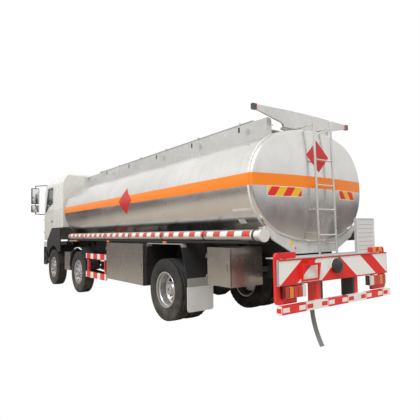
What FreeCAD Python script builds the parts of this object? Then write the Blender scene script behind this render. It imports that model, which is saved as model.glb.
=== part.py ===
"""Three-axle oil tank truck: twin steered front axles, one driven rear axle on twin wheels.

Lengths are millimetres. The sizes below are written in the axle frame: x forward from the rear axle,
y to the left, z up from the ground. Every solid is moved by ORIGIN_SHIFT when it is written, so that
the origin lies on the ground under the middle of the vehicle's box.
"""
import FreeCAD, Part
import math
import os

V = FreeCAD.Vector
X_AXIS = V(1, 0, 0)
Y_AXIS = V(0, 1, 0)
Z_AXIS = V(0, 0, 1)

# Clearances
SEAT_GAP = 0.3           # between pieces that rest on each other along a curve
RUN_GAP = 0.05           # radial clearance of a pin or shaft in its bore

# Overall
BODY_HALF = 1200.0       # half width over the tank and the boxes
FRONT_END = 7900.0       # front face of the bumper

# Axles and wheels
STEER_1_X = 6640.0
STEER_2_X = 4430.0
TYRE_R = 527.0
TYRE_W = 280.0
BEAD_R = 288.0
RIM_HALF = 115.0
RIM_WALL = 8.0
RIM_LIP = 17.0           # height of the rim flange over the bead seat
FRONT_WHEEL_Y = 1050.0
KINGPIN_Y = 900.0
KINGPIN_R = 22.0
OUTER_DUAL_Y = 1058.0
DUAL_SPACING = 318.0
REAR_SPINDLE_R = 60.0
STEER_ARM = 200.0
STEER_ARM_Z = 400.0

# Chassis frame
RAIL_OUT = 430.0
RAIL_H = 250.0
RAIL_TOP = 1050.0
RAIL_FLANGE = 75.0
RAIL_WEB = 10.0
RAIL_REAR = -2420.0
RAIL_FRONT = 7500.0
SILL_W = 70.0

# Tank
TANK_REAR = -2205.0
TANK_FRONT = 5480.0
TANK_MID_Z = 2125.0
TANK_HALF_H = 808.0
TANK_CORNER_R = 500.0    # radius of the shoulder arcs
TANK_CORNER_Y = 570.0    # centres of the shoulder arcs
TANK_CORNER_Z = 210.0
TANK_CROWN = TANK_MID_Z + TANK_HALF_H
HEAD_BULGE = 130.0
HEAD_R = 6500.0
HEAD_KNUCKLE = 45.0
BAND_T = 7.0
BAND_W = 26.0

# Walkway on the tank
COAMING_Y = 690.0
COAMING_T = 90.0
COAMING_TOP = TANK_CROWN + 152.0
RAIL_PIPE_R = 13.0
RAIL_POST_R = 10.0
HANDRAIL_H = 400.0

# Cab
CAB_BACK = 5750.0
CAB_FRONT = 7840.0
CAB_HALF = 1190.0
CAB_BOTTOM = 1330.0       # underside ahead of the wheel arch
CAB_REAR_Z = 1700.0       # underside over the wheel arch
CAB_WALL = 45.0
CAB_ROOF = 3350.0
CAB_WAIST = 2140.0        # height of the windscreen's foot
TILT_X = 7760.0
TILT_Z = 1250.0

# Cabinets, tube and rear board
CABINET_WALL = 4.0
TUBE_R = 75.0
TUBE_Y = 1120.0
TUBE_Z = 1440.0
TUBE_WALL = 3.0
TUBE_REAR = -2340.0
TUBE_FRONT = 5150.0
BOARD_X = -2612.0
BOARD_T = 28.0
BOARD_HALF = 1176.0
BOARD_BOTTOM = 840.0
BOARD_TOP = 1135.0


def box(x0, x1, y0, y1, z0, z1):
    """A block between two values along each axis."""
    return Part.makeBox(x1 - x0, y1 - y0, z1 - z0, V(x0, y0, z0))


def rod(start, end, radius):
    """A round bar between two points."""
    a, b = V(*start), V(*end)
    return Part.makeCylinder(radius, (b - a).Length, a, b - a)


def pipe(points, radius):
    """A round bar through several points, with a ball at each corner."""
    solid = rod(points[0], points[1], radius)
    for a, b in zip(points[1:-1], points[2:]):
        solid = solid.fuse(Part.makeSphere(radius, V(*a))).fuse(rod(a, b, radius))
    return solid


def plate(corners, thickness, normal):
    """A flat plate: its outline extruded along normal."""
    wire = Part.makePolygon([V(*c) for c in corners] + [V(*corners[0])])
    return Part.Face(wire).extrude(normal * thickness)


def side_plate(outline, y0, y1):
    """An outline of x, z points extruded from y0 to y1."""
    return plate([(x, y0, z) for x, z in outline], y1 - y0, Y_AXIS)


def cross_plate(outline, x0, x1):
    """An outline of y, z points extruded from x0 to x1."""
    return plate([(x0, y, z) for y, z in outline], x1 - x0, X_AXIS)


def turned(outline, centre, sign=1):
    """A ring turned about a lateral axis, from radius and offset points; sign +1 has its outside to the left."""
    x, y, z = centre
    wire = Part.makePolygon([V(x + r, y + sign * w, z) for r, w in outline + outline[:1]])
    return Part.Face(wire).revolve(V(x, y, z), Y_AXIS, 360)


def fuse(solids):
    """One solid from several that touch."""
    first, rest = solids[0], solids[1:]
    return first.multiFuse(rest).removeSplitter() if rest else first


def mirrored(solid):
    """The same piece on the other side of the vehicle."""
    return solid.mirror(V(0, 0, 0), Y_AXIS)


def group(solids):
    """Solids that don't touch, kept in one node."""
    return Part.makeCompound(solids)


def tank_wire(x, grow=0.0):
    """The tank's section at x: flat arcs above, below and beside, joined by shoulder arcs."""
    a, b, r = BODY_HALF + grow, TANK_HALF_H + grow, TANK_CORNER_R + grow
    u, v = TANK_CORNER_Y, TANK_CORNER_Z
    top_r = (u * u + (b - v) ** 2 - r * r) / (2 * (b - v - r))
    side_r = (v * v + (a - u) ** 2 - r * r) / (2 * (a - u - r))
    top_c, side_c = b - top_r, a - side_r
    lean_top = math.atan2(u, v - top_c)
    lean_side = math.atan2(v, u - side_c)
    ty, tz = top_r * math.sin(lean_top), top_c + top_r * math.cos(lean_top)
    sy, sz = side_c + side_r * math.cos(lean_side), side_r * math.sin(lean_side)
    mid = (lean_side + math.pi / 2 - lean_top) / 2
    cy, cz = u + r * math.cos(mid), v + r * math.sin(mid)
    quarter = [(ty, tz), (cy, cz), (sy, sz)]
    arcs = [
        [(-ty, tz), (0, b), (ty, tz)],
        quarter,
        [(sy, sz), (a, 0), (sy, -sz)],
        [(y, -z) for y, z in reversed(quarter)],
        [(ty, -tz), (0, -b), (-ty, -tz)],
        [(-y, -z) for y, z in quarter],
        [(-sy, -sz), (-a, 0), (-sy, sz)],
        [(-y, z) for y, z in reversed(quarter)],
    ]
    edges = [Part.Arc(*[V(x, y, TANK_MID_Z + z) for y, z in arc]).toShape() for arc in arcs]
    return Part.Wire(edges)


def tank_prism(x0, x1, grow=0.0):
    """The tank's section extruded between two stations."""
    return Part.Face(tank_wire(x0, grow)).extrude(V(x1 - x0, 0, 0))


def tank_band(x0, width, height):
    """A hoop round the tank, sunk a little into its shell."""
    return tank_prism(x0, x0 + width, height).cut(tank_prism(x0 - 1, x0 + width + 1, -6))


def build_tank_shell():
    """The shell with its two dished heads, cut by large spheres and rounded at the knuckles."""
    rear, front = TANK_REAR - HEAD_BULGE, TANK_FRONT + HEAD_BULGE
    middle = (rear + front) / 2
    shell = tank_prism(rear, front)
    for tip, side in ((rear, 1), (front, -1)):
        ball = Part.makeSphere(HEAD_R, V(tip + side * HEAD_R, 0, TANK_MID_Z))
        x0, x1 = sorted((tip - side * 10, middle))
        half = box(x0, x1, -BODY_HALF - 50, BODY_HALF + 50, 1200, 3050)
        shell = shell.cut(half.cut(ball))
    rims = [e for e in shell.Edges if e.BoundBox.XLength < 1000]
    return fuse([shell.makeFillet(HEAD_KNUCKLE, rims)] + build_tank_bands())


BAND_STATIONS = [TANK_REAR + 20, TANK_FRONT - BAND_W - 20]


def build_tank_bands():
    """The hoop over each head seam."""
    return [tank_band(x, BAND_W, BAND_T) for x in BAND_STATIONS]


# Each saddle: station along the tank
SADDLES = [-2150.0, -1150.0, -100.0, 950.0, 2000.0, 3050.0, 4100.0, 5150.0]
SADDLE_HALF = 820.0
SADDLE_T = 12.0


def under_tank(solid):
    """Trims a piece so that it follows the underside of the tank."""
    solid = solid.cut(tank_prism(TANK_REAR - 400, TANK_FRONT + 400, SEAT_GAP))
    for x in BAND_STATIONS:
        solid = solid.cut(tank_prism(x - SEAT_GAP, x + BAND_W + SEAT_GAP, BAND_T + SEAT_GAP))
    return solid


def build_tank_frame():
    """Two long sills on the chassis rails, and a saddle plate across them at each station."""
    pieces = []
    sill_top = 1420.0
    for side in (1, -1):
        y0, y1 = sorted((side * (RAIL_OUT - SILL_W), side * RAIL_OUT))
        pieces.append(box(TANK_REAR, TANK_FRONT, y0, y1, RAIL_TOP, sill_top))
    for x in SADDLES:
        outline = [(-SADDLE_HALF, 1470), (-540, 1330), (-RAIL_OUT, 1130), (RAIL_OUT, 1130), (540, 1330),
                   (SADDLE_HALF, 1470)]
        pieces.append(cross_plate(outline, x, x + SADDLE_T))
    pieces += both(build_tube_brackets)
    return under_tank(fuse(pieces))


def build_rear_skirt():
    """The pale skirt that closes the space between the rear head and the frame."""
    rim = [(-1010, 1560), (-850, 1375), (-440, 1172), (440, 1172), (850, 1375), (1010, 1560)]
    x = TANK_REAR - 42
    return under_tank(cross_plate(rim, x, x + 30))


def build_coaming(side):
    """One long hollow coaming beside the walkway, with its closed ends."""
    y0, y1 = COAMING_Y - COAMING_T, COAMING_Y
    foot = TANK_CROWN - 233
    outline = [(y0, foot), (y1, foot), (y1, COAMING_TOP), (y0 + 20, COAMING_TOP), (y0, COAMING_TOP - 30)]
    solid = cross_plate(outline, TANK_REAR + 180, TANK_FRONT - 150)
    solid = fuse([under_tank(solid)] + handrail_ears())
    return solid if side > 0 else mirrored(solid)


WING_X = -2130.0
WING_T = 30.0
WING_HALF = 975.0
WING_LAMP = 77.0         # width of the lamp at each tip


def build_top_wing():
    """The cross plate at the rear of the walkway, with swept tips that carry the marker lamps."""
    half = [(455, 25), (480, 78), (WING_HALF, 189), (WING_HALF, 259), (300, 279)]
    outline = half + [(-y, z) for y, z in reversed(half)]
    solid = cross_plate([(y, TANK_CROWN + z) for y, z in outline], WING_X, WING_X + WING_T)
    foot = box(WING_X + WING_T, TANK_REAR + 180, -420, 420, TANK_CROWN + 7, TANK_CROWN + 42)
    return under_tank(fuse([solid, foot]))


def build_marker_lamps():
    """The dark lamp block on each tip of the top cross plate."""
    lamp = box(WING_X - 8, WING_X + WING_T + 8, WING_HALF + SEAT_GAP, WING_HALF + WING_LAMP, TANK_CROWN + 185,
               TANK_CROWN + 263)
    return group([lamp, mirrored(lamp)])


# Manholes: station of each neck
MANHOLES = [3000.0, -300.0]
WALKWAY_BEARERS = [-1900.0, -1000.0, 500.0, 1500.0, 2400.0, 3700.0, 4600.0, 5180.0]
NECK_R = 205.0
NECK_TOP = TANK_CROWN + 57.0
NECK_FLOOR = TANK_CROWN + 4.0
LID_T = 16.0


def build_manhole_necks():
    """Two short open necks welded to the crown of the tank, each with its hinge ear."""
    necks = []
    for x in MANHOLES:
        pin_x, pin_z = x + NECK_R + 42, NECK_TOP + 6
        neck = Part.makeCylinder(NECK_R, NECK_TOP - TANK_CROWN + 53, V(x, 0, TANK_CROWN - 53))
        neck = neck.cut(Part.makeCylinder(NECK_R - 12, NECK_TOP - NECK_FLOOR + 1, V(x, 0, NECK_FLOOR)))
        ear = box(x + NECK_R - 8, pin_x + 20, -22, 22, TANK_CROWN - 33, NECK_TOP - 10)
        ear = ear.fuse(box(pin_x - 18, pin_x + 20, -22, 22, NECK_TOP - 11, pin_z))
        ear = ear.fuse(rod((pin_x, -22, pin_z), (pin_x, 22, pin_z), 20))
        bore = rod((pin_x, -40, pin_z), (pin_x, 40, pin_z), 8 + RUN_GAP)
        necks.append(under_tank(neck.fuse(ear).cut(bore)))
    return group(necks)


def build_manhole_lid(x):
    """A domed lid with two hinge arms and a hand clamp."""
    base = NECK_TOP + SEAT_GAP
    lid = Part.makeCylinder(NECK_R + 12, LID_T, V(x, 0, base))
    dome = Part.makeCone(150, 110, 22, V(x, 0, base + LID_T))
    pin_z = NECK_TOP + 6
    pin = rod((x + NECK_R + 42, -48, pin_z), (x + NECK_R + 42, 48, pin_z), 8)
    solid = lid.fuse(dome).fuse(pin)
    for y in (-44, 28):
        arm = box(x + NECK_R - 60, x + NECK_R + 58, y, y + 16, base, base + LID_T + 14)
        solid = solid.fuse(arm)
    clamp = box(x - NECK_R - 40, x - NECK_R + 30, -14, 14, base + 2, base + LID_T + 18)
    return solid.fuse(clamp).removeSplitter()


# Handrail: posts along the walkway
HANDRAIL_POSTS = [-1500.0, -400.0, 700.0, 1800.0, 2900.0, 4000.0]
HANDRAIL_Y = COAMING_Y - 25
HANDRAIL_Z = COAMING_TOP + 24


def build_handrail(side):
    """A folding rail, lying inward over the walkway, that turns in the ears on its coaming."""
    y0, z = HANDRAIL_Y, HANDRAIL_Z
    y1 = y0 - HANDRAIL_H
    first, last = HANDRAIL_POSTS[0] - 200, HANDRAIL_POSTS[-1] + 200
    bars = [rod((first - 16, y, z), (last + 16, y, z), RAIL_PIPE_R) for y in (y1, (y0 + y1) / 2, y0)]
    for x in [first] + HANDRAIL_POSTS + [last]:
        bars.append(rod((x, y0, z), (x, y1, z), RAIL_POST_R))
    solid = fuse(bars)
    return solid if side > 0 else mirrored(solid)


def handrail_ears():
    """The ears on the left coaming in which the folding rail's lower bar turns."""
    ears = []
    for x in HANDRAIL_POSTS:
        ear = box(x + 60, x + 74, HANDRAIL_Y - 24, HANDRAIL_Y + 24, COAMING_TOP - 8, HANDRAIL_Z + 26)
        bore = rod((x, HANDRAIL_Y, HANDRAIL_Z), (x + 200, HANDRAIL_Y, HANDRAIL_Z), RAIL_PIPE_R + RUN_GAP)
        ears.append(ear.cut(bore))
    return ears


def build_walkway():
    """The deck between the coamings, broken at each manhole, on low bearers."""
    half = COAMING_Y - COAMING_T - SEAT_GAP
    low, high = TANK_CROWN + 5, TANK_CROWN + 17
    deck = box(TANK_REAR + 250, TANK_FRONT - 220, -half, half, low, high)
    for x in MANHOLES:
        deck = deck.cut(box(x - 300, x + 320, -330, 330, low - 1, high + 1))
    bearers = [box(x, x + 40, -half, half, TANK_CROWN - 83, low + 6) for x in WALKWAY_BEARERS]
    return under_tank(fuse([deck] + bearers))


LADDER_X = -2430.0
LADDER_Y = -55.0
LADDER_HALF = 192.0
LADDER_R = 17.0
LADDER_FOOT = 1151.0
LADDER_TOP = TANK_CROWN + 144.0
LADDER_TIE = TANK_CROWN + 52.0
RUNGS = [1425.0, 1780.0, 2125.0, 2485.0]


def build_ladder():
    """Two stiles that stand on the rear deck and are tied to the top cross plate, with their rungs."""
    top_x = LADDER_X + 45

    def stile_x(z):
        return LADDER_X + (z - LADDER_FOOT) / (LADDER_TOP - LADDER_FOOT) * (top_x - LADDER_X)

    parts = []
    for y in (LADDER_Y - LADDER_HALF, LADDER_Y + LADDER_HALF):
        parts.append(rod((LADDER_X, y, LADDER_FOOT), (top_x, y, LADDER_TOP), LADDER_R))
        parts.append(Part.makeSphere(LADDER_R, V(top_x, y, LADDER_TOP)))
        parts.append(rod((stile_x(LADDER_TIE), y, LADDER_TIE), (WING_X + 2, y, LADDER_TIE), 11))
        low = stile_x(1300)
        parts.append(rod((low, y, 1300), (TANK_REAR - 42 - SEAT_GAP, y, 1300), 11))
    for z in RUNGS:
        x = stile_x(z)
        parts.append(rod((x, LADDER_Y - LADDER_HALF, z), (x, LADDER_Y + LADDER_HALF, z), 12))
    return fuse(parts)


CROSS_MEMBERS = [-1450.0, -620.0, 620.0, 1900.0, 2740.0, 3700.0, 4900.0]


def build_frame():
    """Channel rails with cross members notched for the propeller shaft, and a closing member at each end."""
    pieces = []
    bottom = RAIL_TOP - RAIL_H
    for side in (1, -1):
        y1, y0 = side * RAIL_OUT, side * (RAIL_OUT - RAIL_WEB)
        yf = side * (RAIL_OUT - RAIL_FLANGE)
        pieces.append(box(RAIL_REAR, RAIL_FRONT, min(y0, y1), max(y0, y1), bottom, RAIL_TOP))
        for z in (bottom, RAIL_TOP - RAIL_WEB):
            pieces.append(box(RAIL_REAR, RAIL_FRONT, min(yf, y1), max(yf, y1), z, z + RAIL_WEB))
    inner = RAIL_OUT - RAIL_WEB / 2
    for x in CROSS_MEMBERS:
        web = box(x, x + 12, -inner, inner, bottom + RAIL_WEB / 2, RAIL_TOP - RAIL_WEB / 2)
        pieces.append(web.cut(box(x - 1, x + 13, -110, 110, bottom, RAIL_TOP - 70)))
    pieces.append(box(RAIL_REAR, RAIL_REAR + 12, -inner, inner, bottom + 5, RAIL_TOP - 5))
    pieces.append(rod((7440, -inner, 900), (7440, inner, 900), 55))
    return fuse(pieces)


def build_steer_axle(x):
    """A dropped forged beam with an eye for the kingpin at each end."""
    half = 430.0
    eye_r = 46.0
    drop = [(-KINGPIN_Y + 20, 560), (-700, 560), (-half, 470), (half, 470), (700, 560), (KINGPIN_Y - 20, 560),
            (KINGPIN_Y - 20, 480), (700, 470), (half, 380), (-half, 380), (-700, 470), (-KINGPIN_Y + 20, 480)]
    pieces = [cross_plate(drop, x - 35, x + 35)]
    for side in (1, -1):
        pieces.append(Part.makeCylinder(eye_r, 120, V(x, side * KINGPIN_Y, 460)))
        seat = box(x - 90, x + 90, min(side * 345, side * 425), max(side * 345, side * 425), 455, 510)
        pieces.append(seat)
    beam = fuse(pieces)
    for side in (1, -1):
        beam = beam.cut(Part.makeCylinder(KINGPIN_R + RUN_GAP, 140, V(x, side * KINGPIN_Y, 450)))
    return beam


def build_knuckle(x, side):
    """The steering knuckle: a yoke round the beam's eye, the kingpin, the spindle and the steering arm."""
    y = side * KINGPIN_Y
    out = side
    hub_z = TYRE_R
    pieces = [Part.makeCylinder(44, 36, V(x, y, 585)), Part.makeCylinder(44, 35, V(x, y, 420)),
              Part.makeCylinder(KINGPIN_R, 200, V(x, y, 420))]
    y0, y1 = sorted((y, y + out * 78))
    for z0, z1 in ((585, 621), (420, 455)):
        pieces.append(box(x - 44, x + 44, y0, y1, z0, z1))
    y0, y1 = sorted((y + out * 52, y + out * 78))
    pieces.append(box(x - 60, x + 60, y0, y1, 420, 620))
    pieces.append(rod((x, y + out * 70, hub_z), (x, y + out * 96, hub_z), 105))
    pieces.append(rod((x, y + out * 90, hub_z), (x, y + out * 262, hub_z), 38))
    arm = box(x - STEER_ARM, x, y - 20, y + 20, STEER_ARM_Z, STEER_ARM_Z + 30)
    pieces.append(arm)
    pieces.append(Part.makeCylinder(26, 30, V(x - STEER_ARM, y, STEER_ARM_Z)))
    pieces.append(Part.makeCylinder(14, 70, V(x - STEER_ARM, y, STEER_ARM_Z - 60)))
    return fuse(pieces)


# Tyre section from the bead outward: radius, offset
TYRE_SECTION = [(BEAD_R, 106), (305.5, 107.5), (320, 124), (350, 137), (410, TYRE_W / 2), (470, 136), (505, 128),
                (521, 116), (TYRE_R, 92)]


def tyre(centre, side):
    """A tyre with crowned tread and rounded sidewalls."""
    back = [(r, -w) for r, w in reversed(TYRE_SECTION)]
    return turned(TYRE_SECTION + back, centre, side)


def rim_barrel(centre, side):
    """The rim's barrel with a flange at each edge and a shallow well."""
    seat = BEAD_R - SEAT_GAP
    wall = seat - RIM_WALL
    lip = seat + RIM_LIP
    outline = [(wall, -RIM_HALF), (lip - 4, -RIM_HALF - 4), (lip, -RIM_HALF), (lip - 3, -RIM_HALF + 4.5),
               (seat, -RIM_HALF + 6.5), (seat, RIM_HALF - 6.5), (lip - 3, RIM_HALF - 4.5), (lip, RIM_HALF),
               (lip - 4, RIM_HALF + 4), (wall, RIM_HALF), (wall, 75), (wall - 14, 60), (wall - 14, -40), (wall, -60)]
    return turned(outline, centre, side)


def hand_holes(centre, side, ring_r, hole_r, count):
    """Cutters for the ring of hand holes in a wheel disc."""
    x, y, z = centre
    cutters = []
    for n in range(count):
        angle = 2 * math.pi * n / count
        cx, cz = x + ring_r * math.cos(angle), z + ring_r * math.sin(angle)
        cutters.append(rod((cx, y - 140, cz), (cx, y + 140, cz), hole_r))
    return cutters


def front_wheel_metal(x, side):
    """A steered wheel's rim, pressed disc and hub, turned as one, with ten hand holes."""
    centre = (x, side * FRONT_WHEEL_Y, TYRE_R)
    inner = BEAD_R - SEAT_GAP - RIM_WALL
    disc = [(60, 66), (176, 66), (200, 74), (232, 98), (258, 100), (inner + 2, 70), (inner + 2, 56), (252, 86),
            (238, 84), (212, 60), (186, 50), (60, 50)]
    hub = [(38 + RUN_GAP, -46), (112, -46), (112, 30), (150, 34), (150, 50), (104, 50), (104, 66), (98, 104), (84, 116),
           (84, 132), (20, 138), (20, 120), (38 + RUN_GAP, 116)]
    drum = [(112, -46), (198, -46), (204, -30), (204, 22), (150, 34), (112, 34)]
    metal = fuse([rim_barrel(centre, side), turned(disc, centre, side), turned(hub, centre, side),
                  turned(drum, centre, side)])
    for cutter in hand_holes(centre, side, 222, 27, 10):
        keep = rod((x, side * (FRONT_WHEEL_Y + 36), TYRE_R), (x, side * (FRONT_WHEEL_Y + 140), TYRE_R), 270)
        metal = metal.cut(cutter.common(keep))
    return metal


def rear_wheel_metal(side):
    """The twin rims on one driven hub: the outer disc is deeply dished, the inner one faces it."""
    inner = BEAD_R - SEAT_GAP - RIM_WALL
    outer_c = (0, side * OUTER_DUAL_Y, TYRE_R)
    inner_c = (0, side * (OUTER_DUAL_Y - DUAL_SPACING), TYRE_R)
    face = DUAL_SPACING / 2
    bore = REAR_SPINDLE_R + RUN_GAP
    disc = [(bore, -face), (176, -face), (206, -face + 10), (248, -84), (266, -66), (inner + 2, -64), (inner + 2, -50),
            (262, -52), (240, -72), (200, -face + 24), (172, -face + 14), (bore, -face + 14)]
    outer_disc = turned(disc, outer_c, side)
    inner_disc = turned([(r, -w) for r, w in disc], inner_c, side)
    hub = [(bore, -face - 150), (198, -face - 150), (206, -face - 136), (206, -face - 30), (150, -face - 14),
           (150, -face + 18), (118, -face + 22), (112, 0), (96, 24), (88, 30), (88, 44), (20, 50), (20, 0), (bore, -40)]
    metal = fuse([rim_barrel(outer_c, side), rim_barrel(inner_c, side), outer_disc, inner_disc,
                  turned(hub, outer_c, side)])
    for cutter in hand_holes(outer_c, side, 222, 30, 10):
        mid_y = side * (OUTER_DUAL_Y - face)
        keep = rod((0, mid_y - 80, TYRE_R), (0, mid_y + 80, TYRE_R), 270)
        metal = metal.cut(cutter.common(keep))
    return metal


def build_drive_axle():
    """The rear axle housing: a round banjo in the middle and a tapered tube to each hub."""
    banjo = [(0, -230), (90, -225), (170, -150), (205, -60), (205, 60), (170, 150), (90, 225), (0, 230)]
    pieces = [turned(banjo, (0, 0, TYRE_R))]
    for side in (1, -1):
        tube = [(0, 0), (78, 0), (70, 560), (66, 560), (66, 600), (0, 600)]
        pieces.append(turned(tube, (0, 0, TYRE_R), side))
        spindle_end = side * (OUTER_DUAL_Y - 45)
        pieces.append(rod((0, side * 590, TYRE_R), (0, spindle_end, TYRE_R), REAR_SPINDLE_R))
        y0, y1 = sorted((side * 350, side * 470))
        pieces.append(box(-80, 80, y0, y1, TYRE_R + 40, TYRE_R + 105))
    nose = rod((150, 0, TYRE_R), (330, 0, TYRE_R), 90)
    pieces.append(nose)
    return fuse(pieces)


def leaf_pack(x, y0, y1, low, half, rise, depth):
    """A curved pack of leaves, deeper in the middle than at its eyes."""
    a, b, c = V(x - half, y0, low + rise), V(x, y0, low), V(x + half, y0, low + rise)
    d, e, f = V(x + half, y0, low + rise + 24), V(x, y0, low + depth), V(x - half, y0, low + rise + 24)
    wire = Part.Wire([Part.Arc(a, b, c).toShape(), Part.LineSegment(c, d).toShape(),
                      Part.Arc(d, e, f).toShape(), Part.LineSegment(f, a).toShape()])
    return Part.Face(wire).extrude(V(0, y1 - y0, 0))


def build_springs(x, low, half, rise, depth):
    """The left and right leaf packs of one axle, with a hanger under the rail at each end."""
    packs = []
    for side in (1, -1):
        y0, y1 = sorted((side * 350, side * 425))
        pack = leaf_pack(x, y0, y1, low, half, rise, depth)
        for end in (-1, 1):
            ex = x + end * (half - 10)
            hanger = box(ex - 45, ex + 45, y0 + 6, y1 - 6, low + rise + 8, RAIL_TOP - RAIL_H - SEAT_GAP)
            pack = pack.fuse(hanger)
        packs.append(pack.removeSplitter())
    return group(packs)


def rounded(points, normal="y", at=0.0):
    """A closed outline with tangent arcs; each point is a, b and the corner's radius."""
    count = len(points)
    edges = []
    ends = []
    for n, (a, b, r) in enumerate(points):
        here = V(a, b, 0)
        before = V(*points[n - 1][:2], 0)
        after = V(*points[(n + 1) % count][:2], 0)
        u, w = (before - here).normalize(), (after - here).normalize()
        half = u.getAngle(w) / 2
        reach = r / math.tan(half) if r else 0.0
        start, finish = here + u * reach, here + w * reach
        mid = here + (u + w).normalize() * (r / math.sin(half) - r) if r else here
        ends.append((start, mid, finish, r))

    def lay(p):
        if normal == "y":
            return V(p.x, at, p.y)
        if normal == "x":
            return V(at, p.x, p.y)
        return V(p.x, p.y, at)

    for n, (start, mid, finish, r) in enumerate(ends):
        if r:
            edges.append(Part.Arc(lay(start), lay(mid), lay(finish)).toShape())
        following = ends[(n + 1) % count][0]
        if (following - finish).Length > 1e-6:
            edges.append(Part.LineSegment(lay(finish), lay(following)).toShape())
    return Part.Wire(edges)


def cab_z(share):
    """A height in the glazed upper half of the cab: 0 at the waist, 1 at the roof."""
    return CAB_WAIST + share * (CAB_ROOF - CAB_WAIST)


# Cab outlines. Side: x, z, corner radius. Front: y, z, corner radius. Plan: x, y, corner radius.
CAB_SIDE = [
    (CAB_BACK, CAB_REAR_Z, 20), (6800, CAB_REAR_Z, 240), (7290, CAB_BOTTOM, 180), (7780, CAB_BOTTOM, 0),
    (CAB_FRONT, CAB_BOTTOM + 70, 0), (CAB_FRONT + 6, CAB_WAIST, 300), (7560, cab_z(0.81), 140),
    (6850, CAB_ROOF - 20, 900), (6150, CAB_ROOF, 900), (CAB_BACK, cab_z(0.926), 90),
]
CAB_FACE = [(CAB_HALF, 1200, 0), (CAB_HALF, cab_z(0.091), 900), (CAB_HALF - 34, cab_z(0.719), 160),
            (CAB_HALF - 170, cab_z(0.909), 160), (CAB_HALF - 420, CAB_ROOF + 20, 0)]
CAB_PLAN = [(CAB_BACK, CAB_HALF, 40), (7670, CAB_HALF, 200), (CAB_FRONT + 80, CAB_HALF - 260, 200)]


def cab_volume(inset):
    """The cab's outer form drawn inward by inset: its side, face and plan outlines crossed."""
    def shrink(wire):
        face = Part.Face(wire)
        return face.makeOffset2D(-inset, 2) if inset else face

    half = CAB_HALF + 100
    side = shrink(rounded(CAB_SIDE, "y", -half)).extrude(V(0, 2 * half, 0))
    face_points = CAB_FACE + [(-y, z, r) for y, z, r in reversed(CAB_FACE)]
    face = shrink(rounded(face_points, "x", CAB_BACK - 100)).extrude(V(3000, 0, 0))
    plan_points = CAB_PLAN + [(x, -y, r) for x, y, r in reversed(CAB_PLAN)]
    plan = shrink(rounded(plan_points, "z", 1000)).extrude(V(0, 0, 3000))
    return side.common(plan).common(face)


# Door and window outlines: x, z, corner radius
DOOR_SIDE = [(6640, 1775, 30), (6830, 1775, 240), (7320, 1400, 160), (7650, 1400, 30), (7650, cab_z(0.025), 60),
             (7390, cab_z(0.7355), 60), (6640, cab_z(0.7355), 60)]
WINDOW_SIDE = [(6735, cab_z(0.248), 50), (7280, cab_z(0.1075), 120), (7575, CAB_WAIST - 30, 40),
               (7330, cab_z(0.669), 50), (6735, cab_z(0.669), 50)]
SCREEN_FACE = [(1075, cab_z(0.062), 90), (985, cab_z(0.719), 100)]
GLASS_T = 6.0
DOOR_GAP = 9.0
HANDLE_X = (6700.0, 6840.0)
HANDLE_Z = 1888.0
DOOR_AXIS_X = 7628.0
DOOR_AXIS_Y = 1204.0


def side_prism(outline, grow, side):
    """An outline of the cab's side, grown, extruded through one side wall."""
    face = Part.Face(rounded(outline, "y", 900))
    if grow:
        face = face.makeOffset2D(grow, 2)
    solid = face.extrude(V(0, 400, 0))
    return solid if side > 0 else mirrored(solid)


def screen_prism(grow):
    """The windscreen's outline extruded through the cab's front."""
    points = SCREEN_FACE + [(-y, z, r) for y, z, r in reversed(SCREEN_FACE)]
    face = Part.Face(rounded(points, "x", 7300))
    if grow:
        face = face.makeOffset2D(grow, 2)
    return face.extrude(V(700, 0, 0))


def build_cab_shell():
    """The cab's hollow body with its door openings and windscreen opening cut."""
    shell = cab_volume(0).cut(cab_volume(CAB_WALL))
    for side in (1, -1):
        shell = shell.cut(side_prism(DOOR_SIDE, DOOR_GAP, side))
    shell = shell.cut(screen_prism(0))
    tunnel = box(5840, 7200, -380, 380, 1500, 1900)
    shell = shell.cut(tunnel)
    cover = tunnel.cut(box(5840 - 1, 7200 - 30, -350, 350, 1499, 1870))
    cover = cover.fuse(box(5840, 5870, -380, 380, 1700, 1900))
    shell = shell.fuse(cover.common(cab_volume(2)))
    for side in (1, -1):
        y0, y1 = sorted((side * 372, side * 408))
        lug = box(TILT_X - 30, TILT_X + 20, y0, y1, TILT_Z, 1345)
        lug = lug.fuse(rod((TILT_X, y0, TILT_Z), (TILT_X, y1, TILT_Z), 30))
        shell = shell.fuse(lug)
    for side in (1, -1):
        y0, y1 = sorted((side * 360, side * 420))
        shell = shell.fuse(rod((TILT_X, y0 - 12, TILT_Z), (TILT_X, y1 + 12, TILT_Z), 14))
        for z in (1560, 1960):
            ear = box(DOOR_AXIS_X - 6, DOOR_AXIS_X + 40, min(side * 1150, side * 1206), max(side * 1150, side * 1206),
                      z, z + 12)
            ear = ear.cut(box(7000, 7659, -1196, 1196, 1000, 3000))
            pin = rod((DOOR_AXIS_X, side * DOOR_AXIS_Y, z), (DOOR_AXIS_X, side * DOOR_AXIS_Y, z + 52), 5)
            shell = shell.fuse(ear).fuse(pin)
    return shell


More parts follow.
